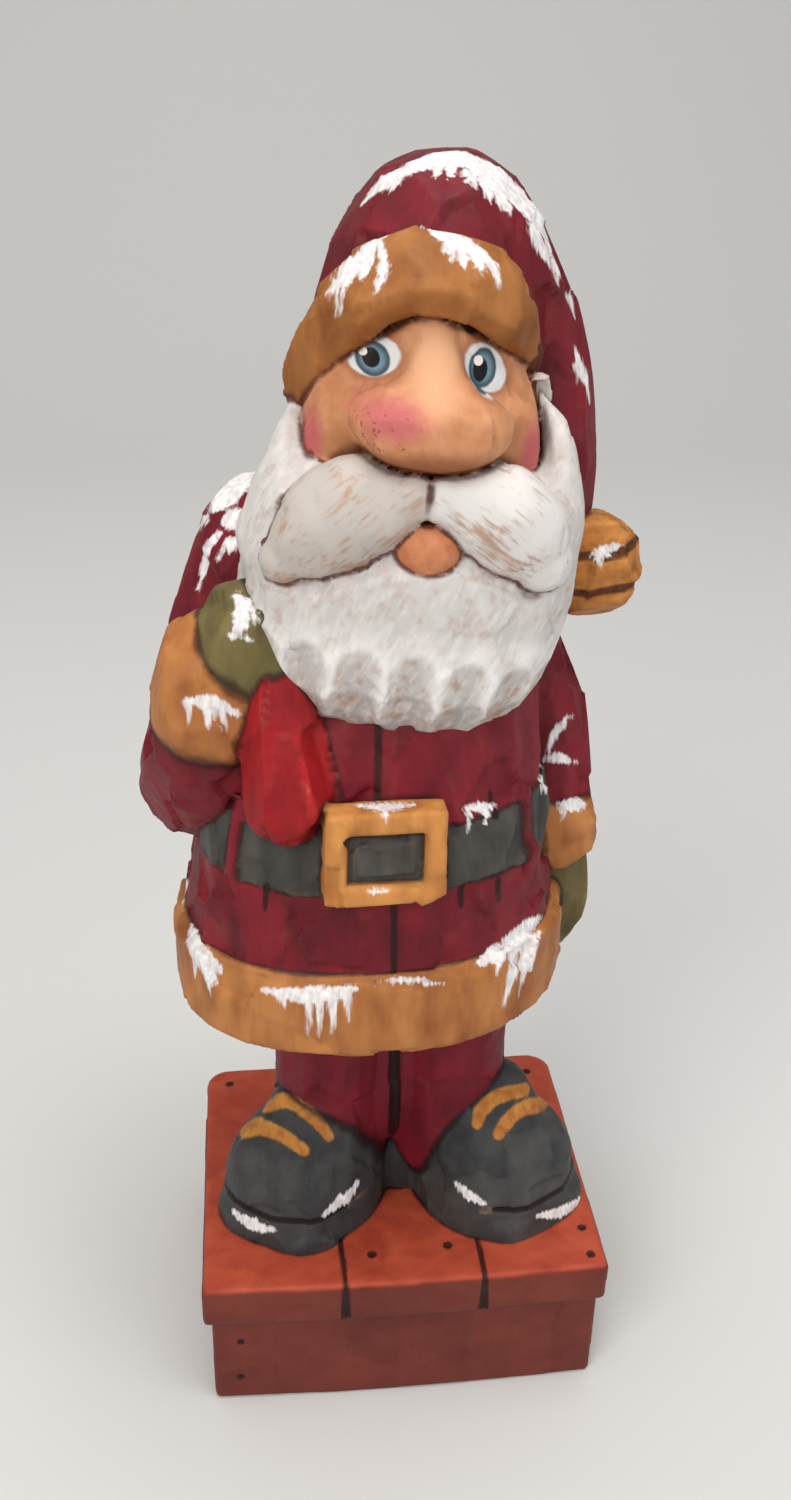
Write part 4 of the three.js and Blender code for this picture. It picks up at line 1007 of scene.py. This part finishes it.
COAT_SNOW = [
    [(-26.3, 0.6, 145.2, 0.65), (-24.3, 0.8, 147.4, 2.04), (-21.8, 2.2, 148.9, 2.05),
     (-18.5, -15.5, 155.2, 0.84)],
    [(-23.9, -2.3, 144.7, 1.59), (-21.1, -14.7, 151.2, 2.26), (-18.6, -16.7, 153.8, 0.96)],
    [(-23.8, -4.9, 142, 1.26), (-22.5, -15.5, 146.5, 0.73), (-21.5, -16.6, 147.6, 0.05)],
    [(-25.6, -2.5, 142.8, 0.51), (-27.7, -2, 138.6, 0.68), (-28.8, -2.7, 135.1, 0.17)],
    [(-24.5, -4.5, 141.7, 0.58), (-25.6, -4.5, 140, 0.36), (-26.6, -4, 138.5, 0.05)],
    [(-23.3, -17.4, 139.2, 0.73), (-22.7, -19, 137.8, 1.27), (-23.4, -20.7, 136.3, 0.73)],
    [(-21.8, -18.1, 138.7, 0.68), (-21.3, -19.5, 137.6, 0.42), (-21, -20.2, 136.6, 0.05)],
    [(-24.4, -20.7, 135.5, 0.55), (-22.8, -20.8, 135, 0.34), (-21.4, -20.9, 134.6, 0.05)],
    [(-30.5, -20.5, 126, 0.48), (-27.6, -21.1, 126.2, 0.9), (-23.9, -20.9, 124.3, 0.48)],
    [(-30, -20.6, 125.5, 0.56), (-30.2, -20.6, 123.8, 0.35), (-30.4, -20.6, 122.4, 0.05)],
    [(-27.6, -21.3, 125.4, 0.62), (-27.7, -21.3, 123.7, 0.39), (-27.8, -21.3, 122.3, 0.05)],
    [(-25.9, -20.8, 124.6, 0.63), (-25.6, -20.8, 123.2, 0.39), (-25.4, -21.1, 122.2, 0.05)],
    [(25, -2.5, 113.7, 0.25), (23, -3.6, 111.6, 0.66), (22, -3.9, 108.8, 0.18)],
    [(20, -8.1, 108.1, 0.18), (23.2, -4, 107.6, 0.74), (26.7, -3, 105.9, 0.18)],
    [(23.9, -5, 100, 0.41), (25.8, -5.6, 100, 1.05), (28.2, -4.1, 99.3, 0.41)],
    [(24.3, -5.8, 99.8, 0.65), (24.2, -6.5, 98.8, 0.4), (24.2, -6.9, 98, 0.06)],
    [(7.1, -21.9, 109.8, 0.37), (9.1, -21.2, 109.3, 0.95), (11.1, -20.3, 109, 0.37)],
    [(7.1, -22.5, 109.2, 0.59), (6.8, -23.9, 108.2, 0.36), (6.7, -24.3, 107.1, 0.05)],
    [(9.8, -21.4, 108.7, 0.59), (9.5, -22.4, 108, 0.37), (9.3, -23.3, 107.3, 0.05)],
    [(19.1, -12.2, 108.5, 0.62), (19.1, -13.5, 107.8, 0.38), (19.3, -13.8, 106.7, 0.06)],
    [(-8.7, -26.1, 112.9, 0.16), (-4.8, -26.9, 112.9, 0.65), (-0.8, -26.2, 112.8, 0.16)],
    [(-4.9, -27.2, 112.9, 0.63), (-5, -29.2, 112.7, 0.39), (-5, -29.3, 111.7, 0.05)],
    [(-6.8, -29.7, 101.6, 0.51), (-5.3, -29.6, 101.6, 0.32), (-4.2, -29.5, 101.6, 0.05)],
    [(-32.8, -3.2, 87.3, 0.97), (-33.2, -4.2, 85.4, 0.6), (-33.5, -6.9, 84.9, 0.06)],
    [(-31.9, -12.6, 85.1, 0.7), (-30.7, -17.4, 84, 1.59), (-28.3, -19.6, 82.7, 0.83)],
    [(-29.9, -18.2, 82.7, 0.92), (-29.4, -19.6, 80.6, 0.57), (-29, -20.4, 78.7, 0.06)],
    [(-31.3, -17, 83.7, 0.77), (-31.5, -16.7, 81.2, 0.48), (-31.7, -16.4, 79.1, 0.06)],
    [(-21.6, -25.5, 83.1, 0.38), (-16.6, -27.4, 83.2, 1.25), (-12.4, -28, 83.8, 1.25),
     (-8.5, -28.5, 84.9, 0.38)],
    [(-15.3, -27.9, 82.8, 0.74), (-15.4, -27.8, 79.1, 0.46), (-15.5, -27.2, 75.6, 0.06)],
    [(-13.8, -28.2, 82.9, 0.74), (-13.9, -28.2, 79.2, 0.46), (-14, -28.1, 76, 0.06)],
    [(-12, -28.1, 82.7, 0.75), (-12, -27.9, 79.3, 0.47), (-12.1, -27.8, 76.4, 0.06)],
    [(-10.1, -28.3, 83.7, 0.74), (-9.9, -28.2, 81, 0.46), (-9.7, -28.1, 78.8, 0.06)],
    [(-19.1, -26.7, 82.5, 0.75), (-18.9, -26.7, 81.3, 0.46), (-18.8, -26.7, 80.4, 0.06)],
    [(-6.2, -27.8, 85, 0.14), (-1.8, -27.6, 85.1, 0.69), (3.5, -27.8, 84.4, 0.14)],
    [(9.2, -25.3, 86.1, 0.53), (13.8, -22.4, 86.8, 1.58), (18.4, -18.8, 88.5, 0.98)],
    [(15, -22.4, 85.8, 1.2), (17.3, -20.5, 86.3, 0.75), (19.3, -18.8, 86.6, 0.06)],
    [(15, -22.5, 85, 0.92), (14, -24.1, 81.2, 0.57), (13.3, -24.3, 77.3, 0.06)],
    [(17.4, -20.7, 85.4, 0.92), (16.3, -22.4, 81.6, 0.57), (15.7, -22.9, 77.7, 0.06)],
    [(12.2, -24.6, 86.1, 0.76), (11.9, -25.4, 85, 0.47), (11.8, -25.3, 83.5, 0.06)],
    [(-19.9, -17, 150.8, 1.29), (-19.4, -17.9, 150.2, 0.8), (-19, -18.4, 149.7, 0.05)],
    [(-27.5, 0.6, 143.8, 0.73), (-28.3, 1, 142.1, 0.46), (-29, 1.3, 140.7, 0.06)],
]


def coat_paint():
    """All the paints from the hem to the shoulders."""
    pot = PaintPot("coat paint")
    base = pot.brushed("#57101c", "#801a27")
    base = pot.over(base, "sack", pot.brushed("#7d0f16", "#a81c20"))
    base = pot.over(base, "fur", pot.brushed("#8c5129", "#bc7d45"))
    base = pot.over(base, "mitten", pot.brushed("#504829", "#74673f"))
    base = pot.over(base, "belt", pot.brushed("#33322f", "#4e4c46", 3.0))
    base = pot.over(base, "buckle", pot.brushed("#a56831", "#d0904e", 3.0))
    return pot.finish(base, wash_and_shade="#200a0a", line="#220a0a", line_most=0.75)


body = wood_piece("santa_coat",
                  [coat, folds, hem, belt, buckle, tongue, sleeves, left_sleeve, cuffs, mittens, sack],
                  (-40, -32, 70), (34, 35, 158), 0.6, snow=COAT_SNOW)
body = knife_marks(body, coat_paint(), 7.5, 0.8, 5.0)
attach(body, "root")
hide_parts("santa_figure")

# Trousers and shoes, carved in the block. Two straight legs, with wood left between them and a cut
# down its front, stand in heavy round shoes; each shoe has a cut welt line and two painted laces.
STAND = 26.0
BETWEEN_LEGS = -0.9
INSEAM = [(-10.4, 76), (-10.2, 60), (-9.7, 49), (-9.0, 42), (-8.0, 37)]
trousers = zone("trousers", [
    limb([(x, -1.5, 36), (x, -1.8, 56), (x, -2.5, 78)], [9.3, 9.5, 10], deep=1.15) for x in (-10.4, 8.6)
] + [rounded((BETWEEN_LEGS, -2.5, 60), (4.6, 7.6, 24), power=3)], blend=1.2, cuts=[
    knife_line([(BETWEEN_LEGS, y, z) for y, z in INSEAM], (0.7, 0.65, 0.65, 0.7, 0.7))])

SHOE_LEAN = 31
SHOE_POWER = 2.35
SHOE_SOLE = (11.6, 12.0, 5.4)
SHOE_UPPERS = [((0, 0.4, 2), (11.5, 11.8, 15.8)), ((2.2, 3.8, 0), (11, 11.6, 25.2))]
WELT_HIGH = 5.8
SHOE_AT = {-1: (-17.2, -7.4), 1: (18.6, -7.6)}


def shoe_spot(side, x, y):
    """A spot of a shoe's own frame on the stand; side is -1 for the right shoe."""
    turn = math.radians(side * SHOE_LEAN)
    c, n, mirrored = math.cos(turn), math.sin(turn), -x * side
    return (SHOE_AT[side][0] + mirrored * c - y * n, SHOE_AT[side][1] + mirrored * n + y * c)


def welt_line(side):
    """The cut between sole and upper, round the front of a shoe."""
    (cx, cy, _), (rx, ry, rz) = SHOE_UPPERS[0]
    reach = (1 - ((WELT_HIGH - 2) / rz) ** SHOE_POWER) ** (1 / SHOE_POWER)
    ring = []
    for a in np.radians(np.arange(-215, 36, 10)):
        c, n = math.cos(a), math.sin(a)
        far = reach * (abs(c) ** SHOE_POWER + abs(n) ** SHOE_POWER) ** (-1 / SHOE_POWER)
        ring.append((*shoe_spot(side, cx + rx * far * c, cy + ry * far * n), STAND + WELT_HIGH))
    return ring


uppers, soles = [], []
for side in (-1, 1):
    lean = (0, 0, side * SHOE_LEAN)
    soles.append(rounded((*shoe_spot(side, 0, 0), STAND), SHOE_SOLE, lean, 3))
    uppers += [rounded((*shoe_spot(side, c[0], c[1]), STAND + c[2]), r, lean, SHOE_POWER)
               for c, r in SHOE_UPPERS]
# One more form on the left shoe, and a filler between the heels, painted shoe black as painted shade in the
# gap where the feet meet
uppers += [rounded((*shoe_spot(1, 5.4, 2.4), STAND), (8.8, 11.4, 23), (0, 0, SHOE_LEAN), SHOE_POWER),
           rounded((0.6, 0.5, STAND), (6.4, 7.6, 13.5))]
shoes = zone("shoe", uppers + soles, blend=0.8,
             cuts=[knife_line(welt_line(side), 0.35, steps=2) for side in (-1, 1)])

SHOE_LACES = [
    [(-21.9, -5.8, 44.7, 1), (-18.9, -8.6, 48.2, 1.23), (-15.9, -11.3, 48.6, 1.21),
     (-13.6, -12.9, 47.2, 1.13), (-11.9, -14.3, 45.1, 0.81)],
    [(-25.7, -6.2, 40.1, 1.09), (-22.7, -9, 43.2, 1.24), (-19.3, -11.8, 43.8, 1.22),
     (-16.2, -14.7, 43, 1.13)],
    [(12.3, -14.7, 46.4, 0.89), (13.1, -13.3, 47.8, 1.14), (16.3, -11.4, 49.1, 1.15), (20.8, -9.2, 48, 1)],
    [(15.9, -15.2, 44.7, 1.14), (17.8, -13.4, 46.1, 1.23), (21.3, -10.8, 45.9, 1.24), (31, 12, 26, 1.12)],
]
SHOE_SNOW = [
    [(-27.4, -14, 29.8, 0.45), (-24.8, -16.4, 29.4, 1.13), (-21.5, -18.4, 29.9, 0.44)],
    [(-13.4, -18.6, 32.3, 0.28), (-9.9, -16.1, 33.1, 0.97), (-7.4, -14.6, 35.3, 0.45)],
    [(8.6, -16.6, 36, 0.28), (10.6, -18.1, 34.6, 0.89), (13.4, -19.1, 33.2, 0.28)],
    [(22.5, -18.6, 29.3, 0.28), (26.8, -16.5, 27.7, 1.08), (31.3, -12.4, 26.2, 0.64)],
]


def leg_paint():
    """Crimson trousers, black shoes and ochre laces."""
    pot = PaintPot("trouser and shoe paint")
    base = pot.brushed("#560c19", "#791526")
    base = pot.over(base, "shoe", pot.brushed("#2b2b2d", "#4a4947", 5.0, (1, 1, 1)))
    base = pot.stroke(base, "lace", pot.brushed("#9c5c22", "#c98c42", 2.0, (1, 1, 1)), ragged=0.12)
    return pot.finish(base, wash_and_shade="#120707", line="#140707", line_most=0.85, wash_and_shade_most=0.85,
                      ridges=0.0)


legs = wood_piece("santa_legs", [trousers, shoes], (-34, -25, STAND - 0.5), (36, 14, 80),
                  0.5, snow=SHOE_SNOW, lace=SHOE_LACES)
legs = knife_marks(legs, leg_paint(), 8.0, 0.35, 8.0)
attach(legs, "root")
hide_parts("santa_figure")

# Stand. A block of wood with a slab on it, cut to look like three planks nailed on a crate, painted
# brick red and rubbed through along its edges.
BASE_HALF = (33.0, 27.0)
BOX_HIGH, BOX_INSET, FRONT_BOW = 18.0, 1.2, 0.9
PLANK_GROOVES = [[(-10.8, -8), (-10.4, -18), (-10.1, -28.6)],
                 [(11.3, -8), (12.3, -21), (12.4, -28.6)]]
NAIL_RADIUS, NAIL_SUNK, PIT_RADIUS = 0.5, 0.7, 0.6
TOP_NAILS = [(-28.7, 22.6), (28.2, 21.6), (-5.4, -21.4), (7.2, -20.5), (30.2, -18.6), (30.4, -24.4)]
FRONT_NAILS = [(-27.2, 13.4), (-27.5, 5.2)]


def block_form(inset, low, high, soft, corner):
    """An upright block with rounded back corners and a slightly bowed front."""
    def field(x, y, z):
        bow = FRONT_BOW * (1 - (x / BASE_HALF[0]) ** 2)
        hx, hy = BASE_HALF[0] - inset, BASE_HALF[1] - inset
        r = np.where(y > 0, corner, 0.8)
        a, b = np.abs(x) - hx + r, np.where(y > 0, y - hy, -y - hy - bow) + r
        flat = corner_of(a, b) - r + soft
        up = np.abs(z - (low + high) / 2) - (high - low) / 2 + soft
        return corner_of(flat, up) - soft
    return np.array([-36.0, -31, low - 3]), np.array([36.0, 30, high + 3]), field


cuts = []
for line in PLANK_GROOVES:
    x = line[-1][0]
    cuts.append(knife_line([(line[0][0] - 0.4, 27.6, STAND), *[(a, b, STAND) for a, b in line]],
                           0.22, steps=6))
    cuts.append(knife_line([(x, -22, STAND), (x, -27.6, STAND), (x, -27.6, BOX_HIGH + 1)],
                           (0.25, 0.4, 0.6), steps=6))
top_pits = [(x, y, STAND) for x, y in TOP_NAILS]
front_pits = [(x, -26.4, z) for x, z in FRONT_NAILS]
planks = zone("slab", [block_form(0, BOX_HIGH, STAND, 1.1, 4.0)], cuts=cuts + [
    knife_line([(x, y, z), (x, y, z + 0.2)], PIT_RADIUS) for x, y, z in top_pits])
crate = zone("crate", [block_form(BOX_INSET, 0, BOX_HIGH + 1, 0.7, 3.0)], cuts=[
    knife_line([(x, y, z), (x, y - 0.2, z)], PIT_RADIUS) for x, y, z in front_pits])


def base_paint():
    """Brick red, painted lighter on top and darker on the sides as painted light and shade, worn lighter
    along its edges, and dark round the shoes with the wash and painted shade of the hollows.
    """
    pot = PaintPot("brick red paint")
    # The top is painted lighter and the sides darker: painted light from above and painted shade on the
    # sides.
    lit_top_paint = pot.brushed("#993a27", "#b75036", 3.5, (1.2, 1, 1))
    shaded_side_paint = pot.brushed("#5f2620", "#743428", 6.0, (2, 1, 1))
    base = pot.mix(pot.spread(pot.read("up"), 0.3, 0.85), shaded_side_paint, lit_top_paint)
    return pot.finish(base, snow=False, wash_and_shade="#150a09", line="#2c100c", line_most=0.5, wash_and_shade_most=0.9,
                      wear="#c56a45", wear_most=0.5, ridges=0.0)


base = wood_piece("santa_base", [planks, crate], (-35, -30, -1.2), (35, 29, STAND + 1.2),
                  0.6)
base = knife_marks(base, base_paint(), 9.0, 0.1, 2.0)
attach(base, "root")
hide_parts("plank_base")


def nail_heads(name, spots, radius, material):
    """Small round nail heads, by a Geometry Nodes tree that lays one on each spot."""
    tree = new_tree("nail heads", "Spots", (("Head radius", radius),), "Nails")
    new, link = tree.nodes.new, tree.links.new
    given, size = new("NodeGroupInput"), new("ShaderNodeMath")
    size.operation = "MULTIPLY"
    size.inputs[1].default_value = MM
    link(given.outputs["Head radius"], size.inputs[0])
    dome, lay = new("GeometryNodeMeshUVSphere"), new("GeometryNodeInstanceOnPoints")
    dome.inputs["Segments"].default_value, dome.inputs["Rings"].default_value = 14, 8
    link(size.outputs[0], dome.inputs["Radius"])
    link(given.outputs["Spots"], lay.inputs["Points"])
    link(dome.outputs["Mesh"], lay.inputs["Instance"])
    end_tree(tree, given, lay.outputs[0])
    mesh = bpy.data.meshes.new(name)
    mesh.from_pydata([tuple(c * MM for c in spot) for spot in spots], [], [])
    made = bpy.data.objects.new(name, mesh)
    bpy.context.scene.collection.objects.link(made)
    return grow(made, tree, material, {"Head radius": radius})


def iron_paint():
    """Rusted iron, nearly black."""
    pot = PaintPot("rusted nail")
    pot.feed(pot.brushed("#1c1210", "#3f241c", 1.0, (1, 1, 1)), pot.shader.inputs["Base Color"])
    pot.feed(pot.spread(pot.noise(0.6), 0.3, 0.7, 0.5, 0.8), pot.shader.inputs["Roughness"])
    pot.shader.inputs["Metallic"].default_value = 0.6
    return pot.material


sunk = ([(x, y, z - NAIL_SUNK) for x, y, z in top_pits]
        + [(x, y + NAIL_SUNK, z) for x, y, z in front_pits])
nails = nail_heads("base_nails", sunk, NAIL_RADIUS, iron_paint())
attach(nails, "root")
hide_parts("plank_base")

# Floor, light and camera. A pale tabletop under soft studio light, seen a little from above.
FLOOR_HALF, BACK_AT, BEND, BACK_HIGH = 2.4, 0.55, 0.5, 1.9
profile = [(-2.2, 0), (0, 0)]
profile += [(BACK_AT + BEND * math.sin(a), BEND - BEND * math.cos(a))
            for a in np.radians(np.arange(0, 91, 6))]
profile.append((BACK_AT + BEND, BACK_HIGH))
sheet = bpy.data.meshes.new("studio_floor")
sheet.from_pydata([(x, y, z) for y, z in profile for x in (-FLOOR_HALF, FLOOR_HALF)], [],
                  [(2 * i, 2 * i + 1, 2 * i + 3, 2 * i + 2) for i in range(len(profile) - 1)])
sheet.polygons.foreach_set("use_smooth", [True] * len(sheet.polygons))
floor = bpy.data.objects.new("studio_floor", sheet)
bpy.context.scene.collection.objects.link(floor)
grey = bpy.data.materials.new("pale floor")
grey.use_nodes = True
paint = grey.node_tree.nodes["Principled BSDF"]
paint.inputs["Base Color"].default_value = (0.62, 0.615, 0.60, 1)
paint.inputs["Roughness"].default_value = 0.8
floor.data.materials.append(grey)


def lamp(name, at, aim, size, power, tint=(1, 1, 1)):
    """A soft square lamp that faces a point; these places and sizes are in metres."""
    light = bpy.data.lights.new(name, "AREA")
    light.size, light.energy, light.color = size, power, tint
    holder = bpy.data.objects.new(name, light)
    bpy.context.scene.collection.objects.link(holder)
    holder.location = at
    holder.rotation_euler = (Vector(aim) - Vector(at)).to_track_quat("-Z", "Y").to_euler()


lamp("window light", (-0.42, -0.6, 0.62), (0, 0, 0.1), 0.5, 4.6, (1.0, 0.98, 0.95))
lamp("ceiling light", (0.05, -0.1, 0.95), (0, 0, 0.1), 0.6, 3.6, (1.0, 0.98, 0.95))
lamp("fill light", (0.6, -0.5, 0.35), (0, 0, 0.1), 0.6, 1.8, (0.96, 0.97, 1.0))
lamp("backdrop light", (0, 0.1, 1.5), (0, 1.0, 0.3), 1.2, 5.0)
world = bpy.data.worlds.new("studio")
world.use_nodes = True
sky = world.node_tree.nodes["Background"]
sky.inputs["Color"].default_value = (0.84, 0.84, 0.84, 1)
sky.inputs["Strength"].default_value = 0.42
bpy.context.scene.world = world
bpy.context.scene.view_settings.view_transform = "Standard"

# Fitted to the photograph by another program
CAMERA_AT = (-0.021238, -0.187650, 0.203312)
CAMERA_RIGHT = (0.9947802, -0.1007593, 0.0161242)
CAMERA_UP = (0.0312801, 0.4515218, 0.8917116)
CAMERA_AHEAD = (0.0971286, 0.8865527, -0.4523167)
view = bpy.data.cameras.new("photograph view")
view.lens, view.sensor_width, view.clip_start = 33.6, 36.0, 0.01
eye = bpy.data.objects.new("photograph view", view)
bpy.context.scene.collection.objects.link(eye)
eye.matrix_world = Matrix([(CAMERA_RIGHT[i], CAMERA_UP[i], -CAMERA_AHEAD[i], CAMERA_AT[i])
                           for i in range(3)] + [(0, 0, 0, 1)])
bpy.context.scene.camera = eye
